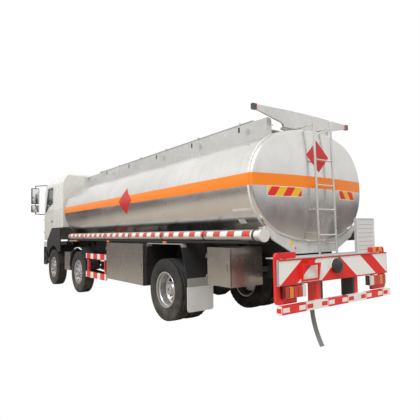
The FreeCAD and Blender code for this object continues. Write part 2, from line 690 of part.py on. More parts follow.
def build_door(side):
    """A cab door with its window opening, the handle in its recess and two hinge barrels, made for the right."""
    skin = cab_volume(0).cut(cab_volume(CAB_WALL))
    door = skin.common(side_prism(DOOR_SIDE, 0, -1)).cut(side_prism(WINDOW_SIDE, 0, -1))
    door = door.cut(box(*HANDLE_X, -1300, -CAB_HALF + 18, HANDLE_Z - 38, HANDLE_Z + 37))
    door = door.fuse(box(HANDLE_X[0] - 10, HANDLE_X[1] + 10, -CAB_HALF - 6, -CAB_HALF + 16, HANDLE_Z - 10, HANDLE_Z + 14))
    for z in (1576, 1976):
        strap = box(DOOR_AXIS_X - 70, DOOR_AXIS_X, -DOOR_AXIS_Y, -1180, z, z + 34)
        barrel = rod((DOOR_AXIS_X, -DOOR_AXIS_Y, z), (DOOR_AXIS_X, -DOOR_AXIS_Y, z + 34), 10)
        bore = rod((DOOR_AXIS_X, -DOOR_AXIS_Y, z - 40), (DOOR_AXIS_X, -DOOR_AXIS_Y, z + 60), 5 + RUN_GAP)
        door = door.fuse(strap).fuse(barrel).cut(bore)
    return mirrored(door) if side > 0 else door


def build_door_glass(side):
    """The pane in a door's window."""
    pane = cab_volume(12).cut(cab_volume(12 + GLASS_T))
    return pane.common(side_prism(WINDOW_SIDE, -SEAT_GAP, side))


def build_windscreen():
    """The pane in the cab's front."""
    pane = cab_volume(12).cut(cab_volume(12 + GLASS_T))
    return pane.common(screen_prism(-SEAT_GAP))


def build_seats():
    """Two seats: cushion, back and pedestal each."""
    seats = []
    for y in (560, -560):
        floor = 1780
        cushion = box(6330, 6830, y - 240, y + 240, floor + 250, floor + 370)
        back = side_plate([(6300, floor + 330), (6420, floor + 330), (6240, cab_z(0.537)), (6150, cab_z(0.52))],
                          y - 230, y + 230)
        foot = box(6400, 6760, y - 170, y + 170, floor + SEAT_GAP - 35, floor + 260)
        seats.append(fuse([cushion, back, foot]))
    return group(seats)


def build_dash():
    """The dashboard across the cab, with the steering column and wheel on the left."""
    board = side_plate([(7330, 1980), (7350, 2190), (7600, 2200), (7900, 2140), (7900, 1900), (7450, 1800)], -1080, 1080)
    board = board.common(cab_volume(CAB_WALL + SEAT_GAP))
    column = rod((7420, 560, 2090), (7190, 560, 2290), 32)
    axis = (V(7190, 560, 2290) - V(7420, 560, 2090)).normalize()
    rim = Part.makeTorus(215, 15, V(7190, 560, 2290), axis)
    spoke = rod((7190, 560 - 212, 2290), (7190, 560 + 212, 2290), 14)
    return fuse([board, column, rim, spoke])


BUMPER_BOTTOM = 560.0
BUMPER_TOP = 1272.0
STEP_X = (7390.0, 7600.0)
STEP_HEIGHTS = [625.0, 865.0]
HEADLAMP = {"y": (690, 960), "z": (800, 960)}


def headlamp_block(side, grow):
    """One headlamp's block, or its pocket."""
    y0, y1 = sorted((side * (HEADLAMP["y"][0] - grow), side * (HEADLAMP["y"][1] + grow)))
    return box(FRONT_END - 130 - grow, FRONT_END - 2, y0, y1, HEADLAMP["z"][0] - grow, HEADLAMP["z"][1] + grow)


def build_bumper():
    """The bumper and lower front panel, wrapped back to the wheel arches, with two boarding steps a side."""
    outline = [(7330, 1195, 0), (7700, 1195, 150), (FRONT_END, 1000, 260)]
    full = outline + [(x, -y, r) for x, y, r in reversed(outline)]
    outer = Part.Face(rounded(full, "z", BUMPER_BOTTOM))
    inner = outer.makeOffset2D(-30, 2)
    inner.translate(V(-50, 0, 0))
    height = V(0, 0, BUMPER_TOP - BUMPER_BOTTOM)
    shell = outer.extrude(height).cut(inner.extrude(height))
    hole = Part.makeCylinder(ARCH_1_R + 30, 3000, V(STEER_1_X, -1500, TYRE_R), Y_AXIS)
    shell = shell.cut(hole)
    for z in STEP_HEIGHTS:
        shell = shell.cut(box(*STEP_X, -1300, 1300, z + 30, z + 240 - 5))
    for side in (1, -1):
        shell = shell.cut(headlamp_block(side, SEAT_GAP))
        y0, y1 = sorted((side * 360, side * 420))
        pieces = [box(RAIL_FRONT + SEAT_GAP, FRONT_END - 36, y0, y1, 820, 940)]
        for z in STEP_HEIGHTS:
            ya, yb = sorted((side * 900, side * 1180))
            pieces.append(box(STEP_X[0] - 4, STEP_X[1] + 4, ya, yb, z, z + 30))
        ya, yb = sorted((side * 890, side * 904))
        pieces.append(box(*STEP_X, ya, yb, STEP_HEIGHTS[0], 1120))
        shell = fuse([shell] + pieces)
    return shell


def build_headlamps():
    """The two headlamp blocks in the bumper's corners."""
    return group([headlamp_block(1, 0), headlamp_block(-1, 0)])


ARCH_1_R = 640.0
ARCH_2_R = 620.0
ARCH_T = 14.0


def arch(x, radius, y0, y1, angle0, angle1):
    """A curved mudguard about a wheel, between two angles measured from straight ahead."""
    solid = Part.makeCylinder(radius + ARCH_T, y1 - y0, V(x, y0, TYRE_R), Y_AXIS)
    solid = solid.cut(Part.makeCylinder(radius, y1 - y0, V(x, y0, TYRE_R), Y_AXIS))
    reach = 2 * radius
    steps = 8
    fan = [(x, TYRE_R)]
    for n in range(steps + 1):
        angle = math.radians(angle0 + (angle1 - angle0) * n / steps)
        fan.append((x + reach * math.cos(angle), TYRE_R + reach * math.sin(angle)))
    return solid.common(side_plate(fan, y0, y1))


FENDER_REAR = 5960.0
FENDER_FOOT = 1000.0
FENDER_GAP = 13.0        # below the cab, which lifts off it


def front_fender():
    """The side panel between the first wheel's arch and the underside of the cab."""
    top = CAB_REAR_Z - FENDER_GAP
    outline = [(FENDER_REAR, FENDER_FOOT, 0), (FENDER_REAR, top, 120), (6795, top, 240),
               (7284, CAB_BOTTOM - FENDER_GAP, 170), (7324, CAB_BOTTOM - FENDER_GAP, 0), (7324, FENDER_FOOT, 0)]
    panel = Part.Face(rounded(outline, "y", 1160)).extrude(V(0, 25, 0))
    return panel.cut(Part.makeCylinder(ARCH_1_R, 200, V(STEER_1_X, 1100, TYRE_R), Y_AXIS))


def build_front_arch(side):
    """The black mudguard over the first steered wheel, with its side panel and a stay to the rail."""
    solid = arch(STEER_1_X, ARCH_1_R, 640, 1185, 24, 168).fuse(front_fender())
    stay = box(STEER_1_X - 30, STEER_1_X + 30, RAIL_OUT + SEAT_GAP, 660, 1010, 1040)
    riser = box(STEER_1_X - 30, STEER_1_X + 30, 640, 660, 1010, TYRE_R + ARCH_1_R + 6)
    solid = fuse([solid, stay, riser])
    return solid if side > 0 else mirrored(solid)


def build_second_arch(side):
    """The thin mudguard over the second steered wheel, with two stays to the rail."""
    solid = arch(STEER_2_X, ARCH_2_R, 860, 1200, 12, 172)
    pieces = [solid]
    for dx in (-180, 180):
        z = TYRE_R + math.sqrt(ARCH_2_R ** 2 - dx ** 2)
        pieces.append(rod((STEER_2_X + dx, 880, z + 8), (STEER_2_X + dx, 700, 1000), 16))
        pieces.append(rod((STEER_2_X + dx, 700, 1000), (STEER_2_X + dx, RAIL_OUT + SEAT_GAP, 1000), 16))
        pieces.append(Part.makeSphere(16, V(STEER_2_X + dx, 700, 1000)))
    solid = fuse(pieces)
    return solid if side > 0 else mirrored(solid)


REAR_ARCH = [(646, 566), (660, 900), (600, 1296), (560, 1312), (-530, 1312), (-560, 1296), (-720, 775)]
REAR_ARCH_T = 14.0


def build_rear_arch(side):
    """The angular mudguard over the twin wheels, with two stays to the rail."""
    y0, y1 = 560, 1200
    panels = []
    for (xa, za), (xb, zb) in zip(REAR_ARCH[:-1], REAR_ARCH[1:]):
        length = math.hypot(xb - xa, zb - za)
        nx, nz = (zb - za) / length * REAR_ARCH_T, -(xb - xa) / length * REAR_ARCH_T
        outline = [(xa, za), (xb, zb), (xb - nx, zb - nz), (xa - nx, za - nz)]
        panels.append(side_plate(outline, y0, y1))
        panels.append(rod((xb, y0, zb), (xb, y1, zb), 3) if (xb, zb) != REAR_ARCH[-1] else panels[-1])
    for x in (-300, 300):
        panels.append(box(x - 25, x + 25, RAIL_OUT + SEAT_GAP, y0 + 10, 1000, 1040))
        panels.append(box(x - 25, x + 25, y0, y0 + 10, 1000, 1306))
    solid = fuse(panels)
    return solid if side > 0 else mirrored(solid)


FLAP_X = -745.0


def build_mud_flap(side):
    """The pale flap behind the twin wheels, on a grey strip with a stay to the rail."""
    flap = Part.Face(rounded([(715, 255, 40), (1215, 255, 40), (1215, 640, 0), (715, 640, 0)], "x", FLAP_X))
    flap = flap.extrude(V(10, 0, 0))
    strip = box(FLAP_X - 4, FLAP_X + 14, 700, 1200, 622, 772)
    stay = box(FLAP_X, FLAP_X + 12, RAIL_OUT + SEAT_GAP, 720, 730, 770)
    stay = stay.fuse(box(FLAP_X, FLAP_X + 12, RAIL_OUT + SEAT_GAP, RAIL_OUT + 14, 730, RAIL_TOP - 60))
    solid = fuse([flap, strip, stay])
    return solid if side > 0 else mirrored(solid)


GUARD_FRONT = 3785.0
GUARD_REAR = 2540.0


def build_side_guard(side):
    """Two long guard bars on two posts, each post with an arm to the rail."""
    pieces = []
    for z0, z1 in ((460, 598), (910, 1030)):
        pieces.append(box(GUARD_REAR, GUARD_FRONT, 1172, 1197, z0, z1))
    for x in (GUARD_REAR + 90, GUARD_FRONT - 110):
        pieces.append(box(x, x + 50, 1122, 1173, 460, 1030))
        pieces.append(box(x, x + 50, RAIL_OUT + SEAT_GAP, 1123, 930, 1000))
    solid = fuse(pieces)
    return solid if side > 0 else mirrored(solid)


# Cabinets: x range, inner y, height range, side and the number of hinges
CABINETS = {
    "valve_cabinet": {"x": (764, 2515), "y": 620, "z": (518, 1295), "side": 1},
    "hose_cabinet": {"x": (-1775, -1230), "y": 600, "z": (730, 1270), "side": 1},
    "tool_cabinet": {"x": (1180, 2515), "y": 620, "z": (518, 1295), "side": -1},
}
CABINET_OUT = 1176.0
LEAF_T = 20.0
LEAF_R = 9.0


def cabinet_axis(spec):
    """Where a cabinet door's hinge runs: at its front edge, just outside the face."""
    return spec["x"][1] - 14, CABINET_OUT + LEAF_T + 6


def build_cabinet(spec):
    """A hollow cabinet open outward, with arms to the rail and two hinge ears."""
    (x0, x1), y0, (z0, z1) = spec["x"], spec["y"], spec["z"]
    w = CABINET_WALL
    body = box(x0, x1, y0, CABINET_OUT, z0, z1)
    body = body.cut(box(x0 + w, x1 - w, y0 + w, CABINET_OUT - 30, z0 + w, z1 - w))
    body = body.cut(box(x0 + 40, x1 - 40, CABINET_OUT - 40, CABINET_OUT + 1, z0 + 40, z1 - 40))
    for x in (x0 + 60, x1 - 140):
        body = body.fuse(box(x, x + 80, RAIL_OUT + SEAT_GAP, y0 + 1, 900, 980))
    ax, ay = cabinet_axis(spec)
    for z in (z0 + 90, z1 - 150):
        ear = box(ax - LEAF_R, ax + 18, CABINET_OUT + LEAF_T + 2, ay + LEAF_R, z, z + 14)
        ear = ear.fuse(box(ax + 14, ax + 18, CABINET_OUT - 30, ay + LEAF_R, z, z + 14))
        pin = rod((ax, ay, z + 14), (ax, ay, z + 60), 4)
        body = body.fuse(ear).fuse(pin)
    return body if spec["side"] > 0 else mirrored(body)


def build_cabinet_door(spec):
    """A flat cabinet door with two hinge barrels and a flush latch."""
    (x0, x1), (z0, z1) = spec["x"], spec["z"]
    y0 = CABINET_OUT + 6
    ax, ay = cabinet_axis(spec)
    door = box(x0 + 8, ax - 13, y0, y0 + LEAF_T - 6, z0 + 8, z1 - 8)
    for z in (z0 + 90, z1 - 150):
        strap = box(ax - 90, ax, y0 + LEAF_T - 10, y0 + LEAF_T - 2, z + 16, z + 58)
        barrel = rod((ax, ay, z + 16), (ax, ay, z + 58), LEAF_R)
        bore = rod((ax, ay, z), (ax, ay, z + 80), 4 + RUN_GAP)
        door = door.fuse(strap).fuse(barrel).cut(bore)
    middle = (z0 + z1) / 2
    door = door.fuse(box(x0 + 60, x0 + 100, y0 + LEAF_T - 7, y0 + LEAF_T + 2, middle - 50, middle + 50))
    return door if spec["side"] > 0 else mirrored(door)


def build_hose_tube(side):
    """A long open hose tube with a closed front end and a hinge lug above its rear mouth."""
    y = side * TUBE_Y
    tube = rod((TUBE_REAR, y, TUBE_Z), (TUBE_FRONT, y, TUBE_Z), TUBE_R)
    tube = tube.cut(rod((TUBE_REAR - 1, y, TUBE_Z), (TUBE_FRONT - 40, y, TUBE_Z), TUBE_R - TUBE_WALL))
    top = TUBE_Z + TUBE_R
    for dy in (-34, 22):
        ear = box(TUBE_REAR - 24, TUBE_REAR + 40, y + dy, y + dy + 12, top - 12, top + 30)
        ear = ear.cut(rod((TUBE_REAR - 200, y, TUBE_Z), (TUBE_REAR + 50, y, TUBE_Z), TUBE_R - 1))
        ear = ear.cut(box(TUBE_REAR - 30, TUBE_REAR, y - 60, y + 60, top - 20, top + 4))
        bore = rod((TUBE_REAR - 12, y - 60, top + 18), (TUBE_REAR - 12, y + 60, top + 18), 5 + RUN_GAP)
        tube = tube.fuse(ear.cut(bore))
    return tube


def build_tube_cap(side):
    """The round white cap over a hose tube's rear mouth, hung from the lug."""
    y = side * TUBE_Y
    top = TUBE_Z + TUBE_R
    rear = TUBE_REAR - SEAT_GAP
    cap = rod((rear - 30, y, TUBE_Z), (rear, y, TUBE_Z), TUBE_R + 12)
    cap = cap.cut(box(rear - 31, rear + 1, y - 60, y + 60, top - 2, top + 40))
    tongue = box(rear - 24, rear - 4, y - 20, y + 20, top - 20, top + 18)
    pin = rod((TUBE_REAR - 12, y - 38, top + 18), (TUBE_REAR - 12, y + 38, top + 18), 5)
    barrel = rod((TUBE_REAR - 12, y - 20, top + 18), (TUBE_REAR - 12, y + 20, top + 18), 11)
    return fuse([cap, tongue, pin, barrel])


def build_tube_brackets(side):
    """The plates from the long sills that carry a hose tube."""
    plates = []
    for x in SADDLES:
        top = TUBE_Z - TUBE_R - SEAT_GAP
        outline = [(RAIL_OUT - 2, 1180), (545, 1322), (1170, 1322), (1170, top), (520, top), (RAIL_OUT - 2, 1345)]
        plates.append(cross_plate(outline, x + 30, x + 50))
    strip = box(SADDLES[0] + 30, SADDLES[-1] + 50, 1150, 1168, 1330, TUBE_Z - TUBE_R - SEAT_GAP)
    solid = fuse(plates + [strip])
    return solid if side > 0 else mirrored(solid)


def build_rear_deck():
    """The deck behind the tank that carries the ladder and the board, with its two long brackets."""
    x0 = BOARD_X + SEAT_GAP
    pieces = [box(x0, TANK_REAR - 50, -1000, 1000, 1135, 1150)]
    for side in (1, -1):
        y0, y1 = sorted((side * 330, side * 374))
        pieces.append(box(x0, TANK_REAR - SEAT_GAP, y0, y1, RAIL_TOP + SEAT_GAP, 1136))
        pieces.append(box(x0, RAIL_REAR - SEAT_GAP, y0, y1, 560, 1100))
        y0, y1 = sorted((side * 449, side * 1000))
        pieces.append(box(x0, x0 + 60, y0, y1, 900, 960))
        y0, y1 = sorted((side * 940, side * 1000))
        pieces.append(box(x0, x0 + 60, y0, y1, 950, 1140))
    return fuse(pieces)


def build_rear_board():
    """The wide marker board with a lip along its top and bottom edges."""
    board = box(BOARD_X - BOARD_T, BOARD_X, -BOARD_HALF, BOARD_HALF, BOARD_BOTTOM, BOARD_TOP)
    for z in (BOARD_BOTTOM - 8, BOARD_TOP - 4):
        board = board.fuse(box(BOARD_X - BOARD_T - 8, BOARD_X, -BOARD_HALF, BOARD_HALF, z, z + 12))
    return board.removeSplitter()


BAR_X = BOARD_X - 60
GUARD_T = 40.0


def build_underride_bar():
    """The low rear guard bar on two posts that rise behind the board."""
    bar = box(BAR_X, BAR_X + 60, -1190, 1190, 500, 602)
    pieces = [bar]
    for side in (1, -1):
        y0, y1 = sorted((side * (374 + SEAT_GAP), side * 448))
        pieces.append(box(BOARD_X + SEAT_GAP, RAIL_REAR - 40, y0, y1, 505, 1100))
        pieces.append(box(BAR_X + 30, BOARD_X + 30, y0, y1, 505, 598))
    return fuse(pieces)


def build_corner_guard(side):
    """A flat C-shaped guard at the rear corner, its arms reaching inward."""
    y1, y0, tip = BOARD_HALF + 4, BOARD_HALF - 68, 820
    outer = [(y1, 606, 50), (y1, 1225, 50), (tip, 1225, 10), (tip, 1155, 0), (y0, 1155, 20), (y0, 672, 20),
             (tip, 672, 0), (tip, 606, 10)]
    face = Part.Face(rounded(outer, "x", BOARD_X + 12))
    guard = face.extrude(V(GUARD_T, 0, 0))
    arm = box(BOARD_X + 12, BOARD_X + 12 + GUARD_T, 940, 1060, 1150 + SEAT_GAP, 1165)
    guard = guard.fuse(arm)
    return guard if side > 0 else mirrored(guard)


# Tail lamp segments from the outside in
LAMP_OUTER = BOARD_HALF - 84.0
LAMP_INNER = 712.0
LAMP_SEGMENTS = 5


def build_tail_lamp(side):
    """A long lamp of five lenses in one housing, hung under the board."""
    housing = box(BOARD_X - 40, BOARD_X + 40, LAMP_INNER - 8, LAMP_OUTER + 8, 678, 818)
    width = (LAMP_OUTER - LAMP_INNER) / LAMP_SEGMENTS
    lamp = housing
    for n in range(LAMP_SEGMENTS):
        y = LAMP_INNER + n * width
        lens = box(BOARD_X - 52, BOARD_X - 30, y + 4, y + width - 4, 688, 808)
        lamp = lamp.fuse(lens)
    for y in (LAMP_INNER + 60, LAMP_OUTER - 120):
        lamp = lamp.fuse(box(BOARD_X - 20, BOARD_X, y, y + 60, 815, BOARD_BOTTOM - 8 - SEAT_GAP))
    return lamp if side > 0 else mirrored(lamp)


def build_buffer():
    """The round rubber buffer on the board, domed behind."""
    x = BOARD_X - BOARD_T - 8
    y, z = 80.0, 1016.0
    base = rod((x - 40, y, z), (x + 8 - SEAT_GAP, y, z), 98)
    dome = Part.makeSphere(150, V(x + 70, y, z)).common(box(x - 100, x - 35, y - 98, y + 98, z - 98, z + 98))
    return base.fuse(dome).removeSplitter()


def build_plate_frame():
    """The slanted frame that shows the number plate, on two wedge fins, with its small lamp."""
    x = BOARD_X - BOARD_T - 8
    face = BOARD_X - BOARD_T - SEAT_GAP
    pieces = []
    y0, y1, z0, z1 = 455, 790, 860, 1080
    lean = 36
    for y in (y0, y1 - 14):
        fin = side_plate([(face, z0), (x - 8, z0), (x - 8 - lean, z1), (face, z1)], y, y + 14)
        pieces.append(fin)
    back = side_plate([(x - 8, z0), (x - 14, z0), (x - 14 - lean, z1), (x - 8 - lean, z1)], y0, y1)
    pieces.append(back.cut(box(x - 100, x, y0 + 26, y1 - 26, z0 + 26, z1 - 26)))
    pieces.append(box(x - 60, x - SEAT_GAP, 590, 655, z1 + 2, z1 + 32))
    pieces.append(box(x - 50, x - SEAT_GAP, 560, 685, z1 - 3, z1 + 4))
    return fuse(pieces)


def build_notice_board():
    """The blank notice board: a shallow framed panel on a stand over the deck."""
    x, y0, y1, z0, z1 = BOARD_X + 12 + GUARD_T + SEAT_GAP, -1009, -567, 1150 + SEAT_GAP, 1660
    frame = box(x, x + 52, y0, y1, z0, z1)
    return frame.cut(box(x - 1, x + 6, y0 + 16, y1 - 16, z0 + 16, z1 - 16))


def ribbon(points, radius, half_width):
    """A flat strap swept along straight runs joined by tangent arcs."""
    count = len(points)
    edges = []
    start = V(*points[0])
    for n in range(1, count - 1):
        before, here, after = V(*points[n - 1]), V(*points[n]), V(*points[n + 1])
        u, w = (before - here).normalize(), (after - here).normalize()
        half = u.getAngle(w) / 2
        reach = radius / math.tan(half)
        first, last = here + u * reach, here + w * reach
        mid = here + (u + w).normalize() * (radius / math.sin(half) - radius)
        edges.append(Part.LineSegment(start, first).toShape())
        edges.append(Part.Arc(first, mid, last).toShape())
        start = last
    edges.append(Part.LineSegment(start, V(*points[-1])).toShape())
    path = Part.Wire(edges)
    direction = (V(*points[1]) - V(*points[0])).normalize()
    across = Y_AXIS
    thick = direction.cross(across).normalize()
    p = V(*points[0])
    profile = Part.makePolygon([p + across * a * half_width + thick * b for a, b in
                                ((-1, -3), (1, -3), (1, 3), (-1, 3), (-1, -3))])
    return path.makePipeShell([profile], True, False)


STRAP_ROUTE = [(-2490, 411, 504.5), (-2500, 411, 250), (-2640, 411, 8)]
STRAP_BEND = 300.0
STRAP_HALF = 50.0


def build_ground_strap():
    """The grounding strap that trails to the road from the rear beam."""
    return ribbon(STRAP_ROUTE, STRAP_BEND, STRAP_HALF)


def build_engine():
    """The engine and gearbox as one plain block on four feet."""
    pieces = [box(6000, 6950, -300, 300, 820, 1450), box(5250, 6010, -190, 190, 790, 1120)]
    for side in (1, -1):
        for x in (6150, 6800):
            y0, y1 = sorted((side * 290, side * (RAIL_OUT - RAIL_WEB - SEAT_GAP)))
            pieces.append(box(x - 50, x + 50, y0, y1, 900, 960))
    return fuse(pieces)


def build_radiator():
    """The radiator pack between the rails, behind the front panel."""
    return box(7240, 7380, -RAIL_OUT + RAIL_WEB + SEAT_GAP, RAIL_OUT - RAIL_WEB - SEAT_GAP, 830, 1040).fuse(
        box(7240, 7380, -RAIL_OUT + RAIL_FLANGE + SEAT_GAP, RAIL_OUT - RAIL_FLANGE - SEAT_GAP, 1039, 1270))


def build_shafts():
    """The propeller shaft from the gearbox to the rear axle."""
    rear = (330 + SEAT_GAP, 0, TYRE_R)
    middle = (2700, 0, 700)
    front = (5250 - SEAT_GAP, 0, 930)
    shaft = pipe([rear, middle, front], 48)
    shaft = shaft.cut(rod((180, 0, TYRE_R), (330 + SEAT_GAP, 0, TYRE_R), 90))
    shaft = shaft.cut(box(5250 - SEAT_GAP, 5400, -190, 190, 790, 1120))
    hanger = box(2690, 2740 - SEAT_GAP, -100, 100, 700, 1010)
    return fuse([shaft, hanger])


def build_cab_mounts():
    """The rear portal that the cab rests on, and the front ears that carry its tilt pins."""
    pieces = []
    rest = 1700 - 2
    pieces.append(box(5790, 5870, -720, 720, rest - 60, rest))
    for side in (1, -1):
        y0, y1 = sorted((side * (RAIL_OUT - 70), side * RAIL_OUT))
        pieces.append(box(5790, 5870, y0, y1, RAIL_TOP + SEAT_GAP, rest - 50))
    rear = fuse(pieces)
    ears = []
    for side in (1, -1):
        for ya, yb in ((340, 366), (414, 440)):
            y0, y1 = sorted((side * ya, side * yb))
            ear = side_plate([(RAIL_FRONT - 100, RAIL_TOP + SEAT_GAP), (TILT_X - 10, TILT_Z - 80), (TILT_X + 30, TILT_Z),
                              (TILT_X + 18, TILT_Z + 24), (TILT_X - 18, TILT_Z + 24), (TILT_X - 60, TILT_Z - 10),
                              (RAIL_FRONT - 100, RAIL_TOP + 60)], y0, y1)
            ears.append(ear)
        y0, y1 = sorted((side * 340, side * 440))
        ears.append(box(RAIL_FRONT - 100, RAIL_FRONT - 20, y0, y1, RAIL_TOP + SEAT_GAP, RAIL_TOP + 14))
        bore = rod((TILT_X, side * 300, TILT_Z), (TILT_X, side * 500, TILT_Z), 14 + RUN_GAP)
        ears = [e.cut(bore) for e in ears]
    return rear, group([fuse(ears[:3]), fuse(ears[3:])])


def build_fuel_tank():
    """The rounded fuel tank on the right, on two saddles with straps."""
    outline = [(-1110, 520, 90), (-1110, 1120, 90), (-540, 1120, 90), (-540, 520, 90)]
    tank = Part.Face(rounded(outline, "x", 2720)).extrude(V(920, 0, 0))
    pieces = [tank]
    for x in (2850, 3400):
        pieces.append(box(x, x + 60, -541, -RAIL_OUT - SEAT_GAP, 860, 940))
    cap = Part.makeCylinder(45, 40, V(3500, -900, 1110))
    return fuse(pieces + [cap])


def build_battery_box():
    """The closed battery box between the steered wheels on the left."""
    body = box(5140, 5620, 720, 1150, 520, 1010)
    arm = box(5300, 5380, RAIL_OUT + SEAT_GAP, 721, 880, 960)
    return fuse([body, arm])


def build_air_tanks():
    """The two air tanks at the rear on the right, side by side on one bracket."""
    pieces = []
    for y in (-640, -890):
        pieces.append(rod((-1850, y, 900), (-1250, y, 900), 115))
    pieces.append(box(-1580, -1500, -900, -RAIL_OUT - SEAT_GAP, 1000, 1040))
    return fuse(pieces)


def build_silencer():
    """The box silencer between the steered wheels on the right, with a short tail pipe."""
    body = box(5140, 5620, -1130, -640, 540, 960)
    body = body.makeFillet(60, [e for e in body.Edges if e.BoundBox.XLength > 400])
    tail = rod((5300, -700, 560), (5300, -520, 460), 42)
    arm = box(5340, 5420, -650, -RAIL_OUT - SEAT_GAP, 860, 930)
    return fuse([body, tail, arm])


# Mirror heads: share of the cab's upper half at the bottom and top of each
MIRROR_HEADS = [(0.075, 0.26), (0.30, 0.72)]


def build_mirror(side):
    """Two mirror heads on a bar, carried by two arms from the cab's front corner."""
    pieces = [rod((7930, 1400, cab_z(0.2)), (7930, 1400, cab_z(0.4)), 10)]
    for low, high in MIRROR_HEADS:
        housing = box(7870, 7960, 1290, 1530, cab_z(low), cab_z(high))
        pieces.append(housing.makeFillet(34, [e for e in housing.Edges if e.BoundBox.ZLength > 100]))
    top, foot = cab_z(0.781), cab_z(0.033)
    pieces.append(pipe([(7915, 1400, cab_z(0.71)), (7915, 1400, top), (7880, 1180, top + 25), (7530, 1080, top - 5)], 13))
    pieces.append(pipe([(7915, 1400, cab_z(0.083)), (7915, 1400, foot), (7880, 1230, foot - 20),
                        (7680, 1120, foot - 20)], 13))
    solid = fuse(pieces)
    solid = solid.cut(cab_volume(0))
    return solid if side > 0 else mirrored(solid)


def build_visor():
    """The dark sun visor across the top of the windscreen, on its stays."""
    blade = side_plate([(7590, cab_z(0.785)), (7740, cab_z(0.711)), (7748, cab_z(0.719)), (7600, cab_z(0.798))],
                       -1020, 1020)
    stays = [box(7500, 7600, y - 12, y + 12, cab_z(0.782), cab_z(0.793)) for y in (-800, 0, 800)]
    return fuse([blade] + stays).cut(cab_volume(0))


GRILLE_HALF = 640.0
GRILLE_BARS = [1470.0, 1560.0, 1650.0, 1740.0, 1830.0]


def build_grille():
    """The dark grille on the cab's face: five bars between two uprights."""
    x0, x1 = CAB_FRONT - 30, CAB_FRONT + 30
    pieces = [box(x0, x1, -GRILLE_HALF, GRILLE_HALF, z, z + 46) for z in GRILLE_BARS]
    for y in (-GRILLE_HALF, -20, GRILLE_HALF - 40):
        pieces.append(box(x0, x1 - 14, y, y + 40, GRILLE_BARS[0] + 2, GRILLE_BARS[-1] + 44))
    return fuse(pieces).cut(cab_volume(0))


def build_cab_skirt(side):
    """A thin skirt under each side of the cab's floor, inside the bumper."""
    y0, y1 = sorted((side * 1095, side * 1110))
    return box(7340, 7580, y0, y1, BUMPER_TOP - 14, CAB_BOTTOM - SEAT_GAP)


def build_wipers():
    """Two wiper arms with their blades at rest along the windscreen's foot."""
    arms = []
    for y in (-150, 650):
        arm = pipe([(7820, y, 2165), (7866, y, 2165), (7862, y - 120, 2215), (7836, y - 560, 2275)], 9)
        arms.append(arm.cut(cab_volume(0)))
    return group(arms)


LEFT_RIGHT = {"left": 1, "right": -1}
STEER_AXLES = {"front": STEER_1_X, "second": STEER_2_X}
SPRINGS = [
    {"x": STEER_1_X, "low": 510 + SEAT_GAP, "half": 620, "rise": 60, "depth": 90},
    {"x": STEER_2_X, "low": 510 + SEAT_GAP, "half": 620, "rise": 60, "depth": 90},
    {"x": 0.0, "low": TYRE_R + 105 + SEAT_GAP, "half": 720, "rise": 30, "depth": 90},
]


def both(build):
    """A piece and its twin on the other side."""
    return [build(1), build(-1)]


def build_root_nodes():
    """The pieces that stay with the chassis."""
    rear_mount, front_mounts = build_cab_mounts()
    springs = [build_springs(**spec) for spec in SPRINGS]
    guards = both(build_front_arch) + both(build_second_arch) + both(build_rear_arch)
    return {
        "chassis_frame": build_frame(),
        "axles": group([build_steer_axle(x) for x in STEER_AXLES.values()] + [build_drive_axle()]),
        "leaf_springs": group(springs),
        "drive_line": group([build_engine(), build_radiator(), build_shafts()]),
        "cab_mounts": group([rear_mount, front_mounts]),
        "front_bumper": build_bumper(),
        "tank_shell": build_tank_shell(),
        "tank_frame": build_tank_frame(),
        "tank_skirt": build_rear_skirt(),
        "tank_coamings": group(both(build_coaming)),
        "tank_walkway": build_walkway(),
        "manhole_necks": build_manhole_necks(),
        "rear_ladder": fuse([build_ladder(), build_top_wing()]),
        "hose_tubes": group(both(build_hose_tube)),
        "side_guards": group(both(build_side_guard)),
        "mudguards": group(guards),
        "mud_flaps": group(both(build_mud_flap)),
        "side_equipment": group([build_fuel_tank(), build_battery_box(), build_air_tanks(), build_silencer()]),
        "rear_deck": group([build_rear_deck(), build_notice_board()]),
        "rear_board": group([build_rear_board(), build_buffer(), build_plate_frame()]),
        "rear_guards": group([build_underride_bar()] + both(build_corner_guard)),
        "lamps": group(both(build_tail_lamp) + [build_marker_lamps(), build_headlamps()]),
        "ground_strap": build_ground_strap(),
        **{name: build_cabinet(spec) for name, spec in CABINETS.items()},
    }


def build_moving_nodes():
    """The cab and everything else that turns."""
    nodes = {
        "cab_shell": build_cab_shell(),
        "cab_windscreen": build_windscreen(),
        "cab_interior": group([build_seats(), build_dash()]),
        "cab_trim": group([build_visor(), build_wipers(), build_grille()] + both(build_cab_skirt) + both(build_mirror)),
    }
    for hand, side in LEFT_RIGHT.items():
        nodes["cab_door_" + hand] = build_door(side)
        nodes["door_glass_" + hand] = build_door_glass(side)
        nodes["rear_wheel_" + hand] = rear_wheel_metal(side)
        nodes["rear_tyres_" + hand] = group([tyre((0, side * y, TYRE_R), side)
                                             for y in (OUTER_DUAL_Y, OUTER_DUAL_Y - DUAL_SPACING)])
        nodes["handrail_" + hand] = build_handrail(side)
        nodes["tube_cap_" + hand] = build_tube_cap(side)
        for row, x in STEER_AXLES.items():
            nodes[row + "_knuckle_" + hand] = build_knuckle(x, side)
            nodes[row + "_wheel_" + hand] = front_wheel_metal(x, side)
            nodes[row + "_tyre_" + hand] = tyre((x, side * FRONT_WHEEL_Y, TYRE_R), side)
    for number, x in enumerate(MANHOLES, 1):
        nodes["manhole_lid_" + str(number)] = build_manhole_lid(x)
    for name, spec in CABINETS.items():
        nodes[name + "_door"] = build_cabinet_door(spec)
    return nodes


def origin_shift(nodes):
    """The move that puts the origin on the ground under the middle of the vehicle's box."""
    bounds = group([solid for name, solid in nodes.items() if name not in CORD_NODES]).BoundBox
    return V(-bounds.Center.x, 0, 0)


CORD_NODES = ["ground_strap"]


